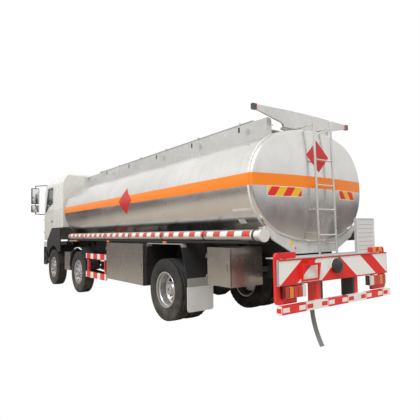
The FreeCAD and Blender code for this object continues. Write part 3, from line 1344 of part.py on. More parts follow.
def main():
    """Builds every node and writes each to its own file."""
    nodes = {**build_root_nodes(), **build_moving_nodes()}
    shift = origin_shift(nodes)
    os.makedirs("parts", exist_ok=True)
    for name, solid in nodes.items():
        placed = solid.copy()
        placed.translate(shift)
        placed.exportStep("parts/" + name + ".step")


if __name__ == "__main__":
    main()
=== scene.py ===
import bpy
import bmesh
import math
from mathutils import Matrix, Vector


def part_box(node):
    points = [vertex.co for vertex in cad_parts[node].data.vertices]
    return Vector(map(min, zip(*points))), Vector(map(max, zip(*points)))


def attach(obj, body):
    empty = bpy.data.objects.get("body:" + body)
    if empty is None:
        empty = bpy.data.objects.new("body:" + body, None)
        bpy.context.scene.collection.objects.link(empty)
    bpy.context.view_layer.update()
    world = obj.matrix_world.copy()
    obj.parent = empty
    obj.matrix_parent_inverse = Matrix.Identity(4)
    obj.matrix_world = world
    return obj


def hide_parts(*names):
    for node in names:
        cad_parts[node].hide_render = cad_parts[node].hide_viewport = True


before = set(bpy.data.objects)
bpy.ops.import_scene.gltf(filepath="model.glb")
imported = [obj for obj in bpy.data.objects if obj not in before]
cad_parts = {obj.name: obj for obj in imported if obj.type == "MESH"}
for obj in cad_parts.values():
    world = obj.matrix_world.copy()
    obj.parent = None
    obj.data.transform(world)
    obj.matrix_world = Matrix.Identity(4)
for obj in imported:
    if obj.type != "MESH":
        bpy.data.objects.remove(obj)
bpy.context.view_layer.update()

# Rear axle in the row frame; sizes below are metres in the axle frame: x forward from the rear axle
REAR_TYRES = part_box("rear_tyres_left")
AXLE_X = (REAR_TYRES[0][0] + REAR_TYRES[1][0]) / 2
TYRE_R = 0.527
STEER_X = {"front": 6.64, "second": 4.43}
FRONT_WHEEL_Y = 1.05
DUAL_Y = (1.058, 0.74)
SIDES = {"left": 1, "right": -1}


def at(x, y, z):
    """A point of the axle frame, in the row frame."""
    return Vector((x + AXLE_X, y, z))


# Camera at the photograph's place
def make_camera():
    """Sets the camera fitted to the photograph."""
    yaw, pitch, roll = math.radians(-36.64), math.radians(3.18), math.radians(-0.94)
    forward = Vector((math.cos(pitch) * math.cos(yaw), math.cos(pitch) * math.sin(yaw), math.sin(pitch)))
    right = Vector((math.sin(yaw), -math.cos(yaw), 0))
    up = right.cross(forward)
    right, up = (math.cos(roll) * right + math.sin(roll) * up, -math.sin(roll) * right + math.cos(roll) * up)
    data = bpy.data.cameras.new("camera")
    data.lens = 34.59
    data.sensor_width = 36
    data.clip_end = 200
    camera = bpy.data.objects.new("camera", data)
    turn = Matrix((right, up, -forward)).transposed().to_4x4()
    camera.matrix_world = Matrix.Translation(at(-6.010, 4.670, 1.485)) @ turn
    bpy.context.collection.objects.link(camera)
    bpy.context.scene.camera = camera


make_camera()


# Material helpers
class Shade:
    """A material and short calls for its nodes."""

    def __init__(self, name, colour, rough=0.5, metal=0.0, coat=0.0):
        self.mat = bpy.data.materials.new(name)
        self.mat.use_nodes = True
        self.tree = self.mat.node_tree
        self.bsdf = self.tree.nodes["Principled BSDF"]
        self.bsdf.inputs["Base Color"].default_value = (*colour, 1)
        self.bsdf.inputs["Roughness"].default_value = rough
        self.bsdf.inputs["Metallic"].default_value = metal
        if coat:
            self.bsdf.inputs["Coat Weight"].default_value = coat
            self.bsdf.inputs["Coat Roughness"].default_value = 0.08
        coords = self.tree.nodes.new("ShaderNodeTexCoord")
        self.place = coords.outputs["Object"]
        split = self.tree.nodes.new("ShaderNodeSeparateXYZ")
        self.tree.links.new(self.place, split.inputs[0])
        self.x, self.y, self.z = split.outputs
        self.x = self.math("SUBTRACT", self.x, AXLE_X)

    def put(self, socket, value):
        if isinstance(value, bpy.types.NodeSocket):
            self.tree.links.new(value, socket)
        elif isinstance(value, (tuple, list)) and len(value) == 3 and socket.type == "RGBA":
            socket.default_value = (*value, 1)
        else:
            socket.default_value = value

    def math(self, op, a, b=0.0, clamp=False):
        node = self.tree.nodes.new("ShaderNodeMath")
        node.operation = op
        node.use_clamp = clamp
        self.put(node.inputs[0], a)
        self.put(node.inputs[1], b)
        return node.outputs[0]

    def over(self, value, low):
        return self.math("GREATER_THAN", value, low)

    def within(self, value, low, high):
        return self.math("MULTIPLY", self.over(value, low), self.math("LESS_THAN", value, high))

    def both(self, *masks):
        result = masks[0]
        for mask in masks[1:]:
            result = self.math("MULTIPLY", result, mask)
        return result

    def either(self, *masks):
        result = masks[0]
        for mask in masks[1:]:
            result = self.math("MAXIMUM", result, mask)
        return result

    def abs(self, value):
        return self.math("ABSOLUTE", value)

    def less(self, value, taken):
        return self.math("SUBTRACT", value, taken)

    def diamond(self, a, b, centre, half):
        """Inside a diamond of two coordinates."""
        u = self.math("DIVIDE", self.abs(self.less(a, centre[0])), half[0])
        v = self.math("DIVIDE", self.abs(self.less(b, centre[1])), half[1])
        return self.math("LESS_THAN", self.math("ADD", u, v), 1.0)

    def stripes(self, value, pitch, share=0.5, start=0.0):
        """1 on the first share of each pitch along value."""
        turn = self.math("FRACT", self.math("DIVIDE", self.less(value, start), pitch))
        return self.math("LESS_THAN", turn, share)

    def noise(self, scale, detail=3.0, stretch=(1, 1, 1), rough=0.55):
        mapping = self.tree.nodes.new("ShaderNodeMapping")
        mapping.inputs["Scale"].default_value = stretch
        self.tree.links.new(self.place, mapping.inputs[0])
        node = self.tree.nodes.new("ShaderNodeTexNoise")
        node.inputs["Scale"].default_value = scale
        node.inputs["Detail"].default_value = detail
        node.inputs["Roughness"].default_value = rough
        self.tree.links.new(mapping.outputs[0], node.inputs["Vector"])
        return node.outputs["Fac"]

    def scaled(self, value, low, high, out_low=0.0, out_high=1.0):
        node = self.tree.nodes.new("ShaderNodeMapRange")
        self.put(node.inputs["Value"], value)
        ends = {"From Min": low, "From Max": high, "To Min": out_low, "To Max": out_high}
        for name, number in ends.items():
            node.inputs[name].default_value = number
        return node.outputs["Result"]

    def mix(self, share, a, b):
        node = self.tree.nodes.new("ShaderNodeMix")
        node.data_type = "RGBA"
        self.put(node.inputs["Factor"], share)
        self.put(node.inputs[6], a)
        self.put(node.inputs[7], b)
        return node.outputs[2]

    def blend(self, share, a, b):
        node = self.tree.nodes.new("ShaderNodeMix")
        self.put(node.inputs["Factor"], share)
        self.put(node.inputs[2], a)
        self.put(node.inputs[3], b)
        return node.outputs[0]

    def bump(self, height, strength=0.2, distance=0.002):
        node = self.tree.nodes.new("ShaderNodeBump")
        node.inputs["Strength"].default_value = strength
        node.inputs["Distance"].default_value = distance
        self.tree.links.new(height, node.inputs["Height"])
        self.tree.links.new(node.outputs[0], self.bsdf.inputs["Normal"])

    def colour(self, value):
        self.put(self.bsdf.inputs["Base Color"], value)

    def rough(self, value):
        self.put(self.bsdf.inputs["Roughness"], value)

    def metal(self, value):
        self.put(self.bsdf.inputs["Metallic"], value)


def worn(name, colour, rough=0.45, metal=0.0, coat=0.0, spread=0.12, dust=0.0, grain=0.0):
    """A paint or plastic with a slight mottle, a fine grain and dust low down."""
    s = Shade(name, colour, rough, metal, coat)
    cloud = s.noise(2.2, 5)
    dark = tuple(c * (1 - spread) for c in colour)
    base = s.mix(s.scaled(cloud, 0.35, 0.65), dark, colour)
    if dust:
        low = s.scaled(s.z, 0.9, 0.15)
        patchy = s.math("MULTIPLY", low, s.scaled(s.noise(6, 6), 0.3, 0.7))
        base = s.mix(s.math("MULTIPLY", patchy, dust, clamp=True), base, (0.30, 0.26, 0.21))
    s.colour(base)
    s.rough(s.scaled(s.noise(9, 4), 0.3, 0.7, rough * 0.85, min(1.0, rough * 1.2)))
    if grain:
        s.bump(s.noise(220, 2), grain, 0.0006)
    return s


def paint(node, shade):
    """Gives a CAD node one material."""
    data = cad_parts[node].data
    data.materials.clear()
    data.materials.append(shade.mat)


RED = (0.74, 0.018, 0.014)
WHITE = (0.80, 0.80, 0.78)
ORANGE = (0.95, 0.24, 0.006)


def tank_material():
    """Polished sheet with the orange band, the blank red diamonds and the two hatched plates."""
    s = Shade("polished_tank", (0.80, 0.79, 0.77), 0.18, 1.0)
    sheet = s.noise(1.4, 4, (0.5, 1, 1))
    base = s.mix(s.scaled(sheet, 0.35, 0.7), (0.70, 0.69, 0.665), (0.86, 0.855, 0.84))
    streak = s.noise(5, 4, (6, 0.3, 0.3))
    base = s.mix(s.scaled(streak, 0.45, 0.75, 0, 0.35), base, (0.62, 0.61, 0.59))
    band = s.within(s.z, 2.085, 2.25)
    end = s.math("LESS_THAN", s.x, -2.19)
    side = s.over(s.abs(s.y), 0.9)
    paint_band = s.both(band, s.either(end, side), s.math("LESS_THAN", s.x, 5.46))
    base = s.mix(paint_band, base, ORANGE)
    plate_z = s.within(s.z, 1.946, 2.085)
    left = s.within(s.y, 0.34, 0.95)
    right = s.within(s.y, -0.954, -0.50)
    plates = s.both(plate_z, s.either(left, right), end)
    lean = s.less(s.abs(s.less(s.y, 0.0)), s.math("MULTIPLY", s.z, -0.75))
    hatch = s.mix(s.stripes(lean, 0.27, 0.5), RED, (0.85, 0.50, 0.02))
    inside = s.either(s.within(s.y, 0.348, 0.942), s.within(s.y, -0.946, -0.508))
    inner = s.both(s.within(s.z, 1.954, 2.077), inside)
    hatch = s.mix(inner, WHITE, hatch)
    base = s.mix(plates, base, hatch)
    flank = s.both(s.diamond(s.x, s.z, (1.53, 2.14), (0.30, 0.27)), side)
    tail = s.both(s.diamond(s.y, s.z, (-0.02, 2.55), (0.25, 0.235)), end)
    signs = s.either(flank, tail)
    base = s.mix(signs, base, (0.60, 0.02, 0.02))
    tape_z = s.within(s.z, 1.60, 1.66)
    tapes = s.both(tape_z, side, s.stripes(s.x, 1.55, 0.09, -1.9), s.math("LESS_THAN", s.x, -0.6))
    base = s.mix(tapes, base, WHITE)
    s.colour(base)
    # Painted highlight on the rim seam: a matt pale band where the shell meets the rolled rear head,
    # standing in for the light that rim catches
    seam_and_rim_highlight = s.within(s.x, -2.187, -2.158)
    rear_tape = s.both(s.within(s.z, 1.765, 1.80), side, s.within(s.x, -2.13, -1.75))
    base = s.mix(s.both(s.either(seam_and_rim_highlight, rear_tape), s.less(1.0, paint_band)), base, WHITE)
    painted = s.either(paint_band, plates, signs, tapes, seam_and_rim_highlight, rear_tape)
    s.metal(s.less(1.0, painted))
    s.rough(s.blend(painted, s.scaled(sheet, 0.3, 0.7, 0.17, 0.3), 0.38))
    s.bump(s.noise(2.6, 2, (0.7, 1, 1)), 0.10, 0.012)
    return s


def board_material():
    """White board with red diagonals that meet in a point at the middle, and red lips."""
    s = Shade("marker_board", WHITE, 0.35)
    lean = s.math("ADD", s.abs(s.less(s.y, -0.01)), s.math("MULTIPLY", s.less(s.z, 1.135), 1.35))
    red = s.either(s.math("LESS_THAN", lean, 0.0), s.within(lean, 0.47, 0.76))
    base = s.mix(red, (0.82, 0.82, 0.80), RED)
    edge = s.either(s.over(s.z, 1.128), s.math("LESS_THAN", s.z, 0.848))
    base = s.mix(edge, base, (0.55, 0.03, 0.02))
    base = s.mix(s.over(s.abs(s.y), 1.165), base, (0.35, 0.35, 0.34))
    s.colour(base)
    s.rough(s.scaled(s.noise(8, 4), 0.3, 0.7, 0.28, 0.45))
    return s


def tape_material(name, axis, pitch, share, start, ground=RED, marks=WHITE):
    """Painted bar with bands across it along one axis."""
    s = Shade(name, ground, 0.35, 0.0, 0.3)
    value = {"x": s.x, "y": s.y}[axis]
    base = s.mix(s.stripes(value, pitch, share, start), ground, marks)
    base = s.mix(s.scaled(s.noise(7, 5), 0.45, 0.8, 0, 0.18), base, (0.35, 0.30, 0.26))
    s.colour(base)
    s.rough(s.scaled(s.noise(9, 3), 0.3, 0.7, 0.28, 0.5))
    return s


CAB_PAINT = worn("cab_paint", (0.74, 0.74, 0.70), 0.28, 0.0, 0.6, 0.05)
CHASSIS = worn("chassis_black", (0.018, 0.018, 0.018), 0.55, 0.0, 0.0, 0.3, 0.35)
CAST = worn("cast_black", (0.03, 0.03, 0.03), 0.6, 0.2, 0.0, 0.3, 0.3, 0.3)
PLASTIC = worn("black_plastic", (0.022, 0.022, 0.023), 0.5, 0.0, 0.0, 0.2, 0.15, 0.3)
STEEL = worn("cabinet_steel", (0.52, 0.49, 0.45), 0.24, 0.9, 0.0, 0.12)
ALLOY = worn("bare_alloy", (0.72, 0.715, 0.70), 0.30, 0.85, 0.0, 0.12)
WHITE_PAINT = worn("white_paint", (0.74, 0.74, 0.72), 0.35, 0.0, 0.3, 0.06)
SILVER = worn("wheel_silver", (0.60, 0.60, 0.60), 0.32, 0.75, 0.2, 0.15, 0.25)
GREY_TRIM = worn("cab_trim_grey", (0.10, 0.10, 0.105), 0.7, 0.0, 0.0, 0.15)
STRAP = worn("strap_grey", (0.22, 0.22, 0.21), 0.8, 0.0, 0.0, 0.2)
TYRE = worn("tyre_rubber", (0.020, 0.020, 0.021), 0.72, 0.0, 0.0, 0.25, 0.28, 0.35)


def glass_material():
    """Dark tinted glass that shows a little of the cab behind it."""
    s = Shade("tinted_glass", (0.05, 0.06, 0.06), 0.06)
    s.colour(s.mix(s.scaled(s.noise(3, 2), 0.3, 0.7), (0.035, 0.045, 0.045), (0.07, 0.08, 0.08)))
    s.bsdf.inputs["Coat Weight"].default_value = 1.0
    s.bsdf.inputs["Alpha"].default_value = 0.55
    return s


GLASS = glass_material()


def lamp_material():
    """Tail lenses from the middle out: white, red, red, amber, red; and the top and front lamps."""
    s = Shade("lenses", (0.5, 0.02, 0.01), 0.2, 0.0, 1.0)
    place = s.abs(s.y)
    inner, width = 0.712, 0.076
    base = s.mix(s.over(place, inner + width), (0.72, 0.70, 0.66), (0.60, 0.012, 0.008))
    base = s.mix(s.over(place, inner + 3 * width), base, (0.80, 0.20, 0.008))
    base = s.mix(s.over(place, inner + 4 * width), base, (0.50, 0.012, 0.008))
    rib = s.over(s.math("FRACT", s.math("DIVIDE", s.less(place, inner - 0.0015), width)), 0.95)
    housing = s.either(s.over(s.x, -2.6419), rib)
    base = s.mix(housing, base, (0.02, 0.02, 0.02))
    marker = s.mix(s.over(place, 0.99), (0.55, 0.02, 0.01), (0.02, 0.02, 0.02))
    base = s.mix(s.over(s.z, 2.5), base, marker)
    base = s.mix(s.over(s.x, 5), base, (0.75, 0.76, 0.77))
    s.colour(base)
    s.bump(s.noise(90, 1), 0.25, 0.001)
    return s


def guards_material():
    """Red rear guards: white bands on the low bar, orange and white bands on the upper arms."""
    s = Shade("rear_guard_red", RED, 0.35, 0.0, 0.3)
    bar = s.math("LESS_THAN", s.z, 0.6021)
    low = s.both(bar, s.math("LESS_THAN", s.x, -2.58))
    blocks = s.stripes(s.y, 0.86, 0.5, 0.30)
    base = s.mix(s.both(low, blocks), RED, WHITE)
    thirds = s.either(s.stripes(s.y, 0.43, 0.27, 0.315), s.stripes(s.y, 0.43, 0.27, 0.60))
    rect = s.both(low, s.within(s.z, 0.525, 0.58), thirds)
    base = s.mix(rect, base, s.mix(blocks, WHITE, RED))
    arms = s.both(s.over(s.z, 1.13), s.math("LESS_THAN", s.y, 0.0), s.stripes(s.y, 0.16, 0.5))
    base = s.mix(arms, base, (0.85, 0.32, 0.05))
    base = s.mix(s.scaled(s.noise(7, 5), 0.5, 0.85, 0, 0.2), base, (0.3, 0.22, 0.18))
    s.colour(base)
    s.rough(s.scaled(s.noise(9, 3), 0.3, 0.7, 0.28, 0.5))
    return s


def board_group_material():
    """The marker board with the rubber buffer and the red plate frame that sit on it."""
    s = board_material()
    base = s.bsdf.inputs["Base Color"].links[0].from_socket
    behind = s.math("LESS_THAN", s.x, -2.6485)
    buffer = s.both(behind, s.within(s.y, -0.03, 0.19))
    frame_red = s.both(behind, s.within(s.y, 0.44, 0.80))
    base = s.mix(frame_red, base, RED)
    base = s.mix(buffer, base, (0.03, 0.028, 0.027))
    s.colour(base)
    return s


BOARD = board_group_material()
TANK = tank_material()
SIDE_RED = tape_material("side_guard_red", "x", 0.43, 0.42, 2.86)
LAMPS = lamp_material()
GUARDS = guards_material()


def tube_material():
    """Alloy tube with red and white tape along its upper outer side and dark clamp bands."""
    s = Shade("hose_tube", (0.66, 0.655, 0.64), 0.3, 0.85)
    base = s.mix(s.scaled(s.noise(6, 3), 0.3, 0.7), (0.60, 0.595, 0.58), (0.72, 0.715, 0.70))
    outer = s.both(s.over(s.abs(s.y), 1.13), s.within(s.z, 1.425, 1.495))
    tape = s.mix(s.stripes(s.x, 0.31, 0.5), (0.78, 0.77, 0.75), (0.60, 0.05, 0.03))
    base = s.mix(outer, base, tape)
    bands = s.either(*[s.within(s.x, x - 0.02, x + 0.02) for x in (3.99, 2.66, 1.4, 0.1, -1.14, -2.22)])
    base = s.mix(bands, base, (0.03, 0.03, 0.03))
    s.colour(base)
    s.metal(s.less(0.85, s.math("MULTIPLY", s.either(outer, bands), 0.85)))
    return s


TUBES = tube_material()


def deck_material():
    """White deck and frame, with the ruled notice board's pale face and grey sides."""
    s = Shade("deck_and_notice", (0.05, 0.05, 0.05), 0.4)
    notice = s.both(s.math("LESS_THAN", s.y, -0.47), s.over(s.z, 1.1502))
    face = s.math("LESS_THAN", s.x, -2.553)
    rows = s.both(s.stripes(s.z, 0.062, 0.10, 1.19), s.within(s.z, 1.19, 1.60), s.within(s.y, -0.975, -0.60))
    sheet = s.mix(rows, (0.66, 0.67, 0.68), (0.30, 0.31, 0.33))
    case = s.mix(face, (0.42, 0.43, 0.44), sheet)
    plate = s.over(s.z, 1.1345)
    base = s.mix(plate, (0.035, 0.035, 0.035), (0.45, 0.45, 0.44))
    base = s.mix(notice, base, case)
    s.colour(base)
    s.rough(s.scaled(s.noise(8, 4), 0.3, 0.7, 0.32, 0.5))
    return s


def skirt_material():
    """Pale skirt plate with a yellow and a red round sticker."""
    s = Shade("skirt_white", (0.66, 0.66, 0.64), 0.35)
    base = s.mix(s.scaled(s.noise(4, 5), 0.35, 0.7), (0.56, 0.56, 0.54), (0.70, 0.70, 0.68))

    def spot(y, z, r):
        u, v = s.less(s.y, y), s.less(s.z, z)
        return s.math("LESS_THAN", s.math("ADD", s.math("MULTIPLY", u, u), s.math("MULTIPLY", v, v)), r * r)

    base = s.mix(spot(0.49, 1.32, 0.037), base, (0.80, 0.60, 0.05))
    base = s.mix(spot(0.42, 1.25, 0.016), base, (0.70, 0.05, 0.04))
    s.colour(base)
    return s


def flap_material():
    """Mud flap: near white below, a grey metal strip above."""
    s = worn("flap_grey", (0.74, 0.75, 0.75), 0.6, 0.0, 0.0, 0.1, 0.15)
    base = s.bsdf.inputs["Base Color"].links[0].from_socket
    s.colour(s.mix(s.over(s.z, 0.64), base, (0.30, 0.30, 0.29)))
    return s


def mudguard_material():
    """Black guards: a grey strip on top of the rear ones, a white edge on the second ones."""
    s = worn("guard_black", (0.022, 0.022, 0.023), 0.5, 0.0, 0.0, 0.2, 0.15, 0.3)
    base = s.bsdf.inputs["Base Color"].links[0].from_socket
    rim = s.both(s.over(s.abs(s.y), 1.16), s.over(s.z, 1.10))
    grey = s.both(s.math("LESS_THAN", s.x, 1.2), s.over(s.abs(s.y), 1.10), s.over(s.z, 1.255))
    white = s.both(s.within(s.x, 3.6, 5.3), rim)
    base = s.mix(grey, base, (0.34, 0.34, 0.33))
    s.colour(s.mix(white, base, WHITE))
    return s


def door_material():
    """Cab paint with the black handle in its recess."""
    s = worn("door_paint", (0.74, 0.74, 0.70), 0.28, 0.0, 0.6, 0.05)
    base = s.bsdf.inputs["Base Color"].links[0].from_socket
    handle = s.both(s.within(s.x, 6.685, 6.855), s.within(s.z, 1.874, 1.906), s.over(s.abs(s.y), 1.18))
    s.colour(s.mix(handle, base, (0.02, 0.02, 0.02)))
    return s


def bumper_material():
    """Cab paint in front, black sides and steps below the doors."""
    s = worn("bumper_paint", (0.72, 0.72, 0.68), 0.3, 0.0, 0.5, 0.05)
    base = s.bsdf.inputs["Base Color"].links[0].from_socket
    flank = s.both(s.math("LESS_THAN", s.x, 7.66), s.math("LESS_THAN", s.z, 1.12))
    s.colour(s.mix(flank, base, (0.022, 0.022, 0.023)))
    return s


DOOR = door_material()
NODE_LOOKS = {
    "chassis_frame": CHASSIS, "axles": CAST, "leaf_springs": CHASSIS, "drive_line": CAST,
    "cab_mounts": CHASSIS, "front_bumper": bumper_material(), "tank_shell": TANK, "tank_frame": CHASSIS,
    "tank_skirt": skirt_material(), "tank_coamings": ALLOY, "tank_walkway": ALLOY, "manhole_necks": ALLOY,
    "rear_ladder": ALLOY, "hose_tubes": TUBES, "side_guards": SIDE_RED, "mudguards": mudguard_material(),
    "mud_flaps": flap_material(), "side_equipment": STEEL, "rear_deck": deck_material(),
    "rear_board": BOARD, "rear_guards": GUARDS, "lamps": LAMPS, "valve_cabinet": STEEL,
    "hose_cabinet": STEEL, "tool_cabinet": STEEL, "valve_cabinet_door": STEEL, "hose_cabinet_door": STEEL,
    "tool_cabinet_door": STEEL, "cab_shell": CAB_PAINT, "cab_windscreen": GLASS, "cab_interior": GREY_TRIM,
    "cab_trim": PLASTIC, "cab_door_left": DOOR, "cab_door_right": DOOR, "door_glass_left": GLASS,
    "door_glass_right": GLASS, "handrail_left": ALLOY, "handrail_right": ALLOY,
    "tube_cap_left": WHITE_PAINT, "tube_cap_right": WHITE_PAINT, "manhole_lid_1": ALLOY,
    "manhole_lid_2": ALLOY, "rear_wheel_left": SILVER, "rear_wheel_right": SILVER, "rear_tyres_left": TYRE,
    "rear_tyres_right": TYRE, "ground_strap": STRAP,
}
for row in STEER_X:
    for hand in SIDES:
        NODE_LOOKS["%s_knuckle_%s" % (row, hand)] = CAST
        NODE_LOOKS["%s_wheel_%s" % (row, hand)] = SILVER
        NODE_LOOKS["%s_tyre_%s" % (row, hand)] = TYRE
for node, shade in NODE_LOOKS.items():
    paint(node, shade)


# Mesh helpers
def new_mesh(name, points, faces, shade, body, smooth=False):
    """An object of the points and faces, riding a body."""
    data = bpy.data.meshes.new(name)
    data.from_pydata([tuple(p) for p in points], [], faces)
    data.update()
    data.materials.append(shade.mat)
    if smooth:
        for polygon in data.polygons:
            polygon.use_smooth = True
    obj = bpy.data.objects.new(name, data)
    bpy.context.collection.objects.link(obj)
    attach(obj, body)
    return obj


FULL_TURN = 2 * math.pi


def turned_points(outline, centre, side, steps, wobble=None):
    """Rings of points from radius, offset pairs about a lateral axis."""
    points = []
    for n in range(steps):
        angle = FULL_TURN * n / steps
        for k, (r, w) in enumerate(outline):
            rr = r - (wobble(n, k) if wobble else 0.0)
            points.append(centre + Vector((rr * math.cos(angle), side * w, rr * math.sin(angle))))
    return points


def ring_faces(count, steps, side):
    """Quads between the closed rings that turned_points makes."""
    faces = []
    for n in range(steps):
        m = (n + 1) % steps
        for k in range(count):
            j = (k + 1) % count
            quad = (n * count + k, n * count + j, m * count + j, m * count + k)
            faces.append(quad if side > 0 else quad[::-1])
    return faces


# Tyres: tread ribs parted by straight grooves, and shoulder lugs
TYRE_SIDE = [(0.288, 0.106), (0.3055, 0.1075), (0.318, 0.122), (0.34, 0.133), (0.37, 0.138), (0.41, 0.1395),
             (0.45, 0.137), (0.48, 0.133), (0.505, 0.127), (0.517, 0.121), (0.523, 0.112)]
TREAD = [0.100, 0.076, 0.070, 0.060, 0.054, 0.030, 0.024, 0.014, 0.008, -0.008, -0.014, -0.024, -0.030,
         -0.054, -0.060, -0.070, -0.076, -0.100]
TREAD_EDGE = 0.100
GROOVE_EDGES = (0.070, 0.060, 0.024, 0.014)
GROOVE_DEPTH = 0.014
LUG_DEPTH = 0.006
LUG_STEPS = 4
TYRE_STEPS = 144


def make_tyre(name, centre, side, body):
    """A tyre of one outline turned about its axle, its grooves and shoulder lugs cut into the rings."""
    outline = list(TYRE_SIDE)
    grooves = set()
    lugs = set()
    for w in TREAD:
        outline.append((TYRE_R - 0.0006 - 0.35 * w * w, w))
        if abs(w) in GROOVE_EDGES:
            grooves.add(len(outline) - 1)
        if abs(w) == TREAD_EDGE:
            lugs.add(len(outline) - 1)
    outline += [(r, -w) for r, w in reversed(TYRE_SIDE)]
    first, last = len(TYRE_SIDE) - 1, len(TYRE_SIDE) + len(TREAD)
    edge = {first - 1, first, last, last + 1}

    def wobble(n, k):
        if k in grooves:
            return GROOVE_DEPTH
        if k in lugs or k in edge:
            return LUG_DEPTH if n % LUG_STEPS < LUG_STEPS // 2 else 0.0
        return 0.0

    points = turned_points(outline, centre, side, TYRE_STEPS, wobble)
    return new_mesh(name, points, ring_faces(len(outline), TYRE_STEPS, side), TYRE, body, True)


for row, x in STEER_X.items():
    for hand, side in SIDES.items():
        tyre = make_tyre("%s_tread_%s" % (row, hand), at(x, side * FRONT_WHEEL_Y, TYRE_R), side,
                         "%s_roller_%s" % (row, hand))
        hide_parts("%s_tyre_%s" % (row, hand))
for hand, side in SIDES.items():
    for number, y in enumerate(DUAL_Y):
        tyre = make_tyre("rear_tread_%s_%d" % (hand, number), at(0, side * y, TYRE_R), side,
                         "rear_roller_" + hand)
        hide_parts("rear_tyres_" + hand)


# Small forms
def block(name, low, high, shade, body, bevel=0.004, steps=2):
    """A bevelled box between two corners in the axle frame."""
    bm = bmesh.new()
    bmesh.ops.create_cube(bm, size=1.0)
    size = Vector(high) - Vector(low)
    middle = at(*((Vector(low) + Vector(high)) / 2))
    for v in bm.verts:
        v.co = Vector((v.co.x * size.x, v.co.y * size.y, v.co.z * size.z)) + middle
    if bevel:
        offset = min(bevel, min(size) * 0.45)
        bmesh.ops.bevel(bm, geom=list(bm.edges), offset=offset, segments=steps, profile=0.7, affect="EDGES")
    data = bpy.data.meshes.new(name)
    bm.to_mesh(data)
    bm.free()
    data.materials.append(shade.mat)
    for polygon in data.polygons:
        polygon.use_smooth = True
    obj = bpy.data.objects.new(name, data)
    bpy.context.collection.objects.link(obj)
    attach(obj, body)
    sharpen(obj)
    return obj


def sharpen(obj, angle=35):
    """Smooth shading with crisp edges above the angle."""
    bm = bmesh.new()
    bm.from_mesh(obj.data)
    for edge in bm.edges:
        edge.smooth = len(edge.link_faces) == 2 and edge.calc_face_angle(0) < math.radians(angle)
    bm.to_mesh(obj.data)
    bm.free()


# Wheel nuts round each hub
NUT_RING = 0.1425
NUTS_PER_WHEEL = 10
FRONT_DISC = 0.066
REAR_DISC = 0.145
NUT = [(0.0, 0.030), (0.010, 0.029), (0.0165, 0.024), (0.0185, 0.020), (0.0185, 0.0)]


def make_nuts(name, x, y, side, ring, count, body):
    """A ring of domed nuts on a wheel's disc; y is the disc's face."""
    points = []
    faces = []
    steps = 6
    for n in range(count):
        angle = FULL_TURN * (n + 0.5) / count
        middle = at(x + ring * math.cos(angle), side * y, TYRE_R + ring * math.sin(angle))
        start = len(points)
        for k in range(steps):
            turn = FULL_TURN * k / steps
            for r, w in NUT:
                points.append(middle + Vector((r * math.cos(turn), side * w, r * math.sin(turn))))
        for k in range(steps):
            m = (k + 1) % steps
            for j in range(len(NUT) - 1):
                a, b = start + k * len(NUT) + j, start + m * len(NUT) + j
                quad = (a, a + 1, b + 1, b)
                faces.append(quad if side < 0 else quad[::-1])
    obj = new_mesh(name, points, faces, NUTS, body, True)
    sharpen(obj, 30)
    return obj


NUTS = worn("nut_steel", (0.42, 0.42, 0.43), 0.35, 0.9, 0.0, 0.2, 0.3)
for hand, side in SIDES.items():
    for row, x in STEER_X.items():
        make_nuts("%s_nuts_%s" % (row, hand), x, FRONT_WHEEL_Y + FRONT_DISC, side, NUT_RING, NUTS_PER_WHEEL,
                  "%s_roller_%s" % (row, hand))
    make_nuts("rear_nuts_" + hand, 0, DUAL_Y[0] - REAR_DISC, side, NUT_RING, NUTS_PER_WHEEL,
              "rear_roller_" + hand)


# Seat pads over the plain seats: crowned forms whose sides pull in between the corners
SEAT_FABRIC = worn("seat_fabric", (0.055, 0.058, 0.065), 0.9, 0.0, 0.0, 0.25, 0.0, 0.5)


def make_pad(name, centre, half, lean, body):
    """A padded form; half is its size along its length, across the cab and through its thickness."""
    bm = bmesh.new()
    bmesh.ops.create_cube(bm, size=2.0)
    bmesh.ops.subdivide_edges(bm, edges=list(bm.edges), cuts=15, use_grid_fill=True)
    for v in bm.verts:
        u, w, t = v.co
        edge = max(abs(u), abs(w))
        crown = 1 - 0.42 * edge ** 6
        seam_and_rim_highlight = 0.07 * math.exp(-((abs(w) - 0.62) / 0.05) ** 2) * (1 - abs(u) ** 8)
        pull = 1 - 0.03 * (1 - w * w)
        side = 1 - 0.03 * (1 - u * u)
        round_u = 1 - 0.10 * abs(w) ** 8
        round_w = 1 - 0.10 * abs(u) ** 8
        along, across = u * half[0] * pull * round_u, w * half[1] * side * round_w
        through = t * half[2] * (crown - seam_and_rim_highlight)
        v.co = Vector((along * math.sin(lean) + through * math.cos(lean), across,
                       along * math.cos(lean) - through * math.sin(lean))) + at(*centre)
    data = bpy.data.meshes.new(name)
    bmesh.ops.recalc_face_normals(bm, faces=bm.faces)
    bm.to_mesh(data)
    bm.free()
    data.materials.append(SEAT_FABRIC.mat)
    for polygon in data.polygons:
        polygon.use_smooth = True
    obj = bpy.data.objects.new(name, data)
    bpy.context.collection.objects.link(obj)
    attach(obj, body)


SEAT_Y = 0.56
for hand, side in SIDES.items():
    make_pad("seat_cushion_" + hand, (6.58, side * SEAT_Y, 2.09), (0.268, 0.255, 0.085), math.radians(90),
             "cab")
    make_pad("seat_back_" + hand, (6.2775, side * SEAT_Y, 2.45), (0.375, 0.248, 0.088), math.radians(-13.7),
             "cab")


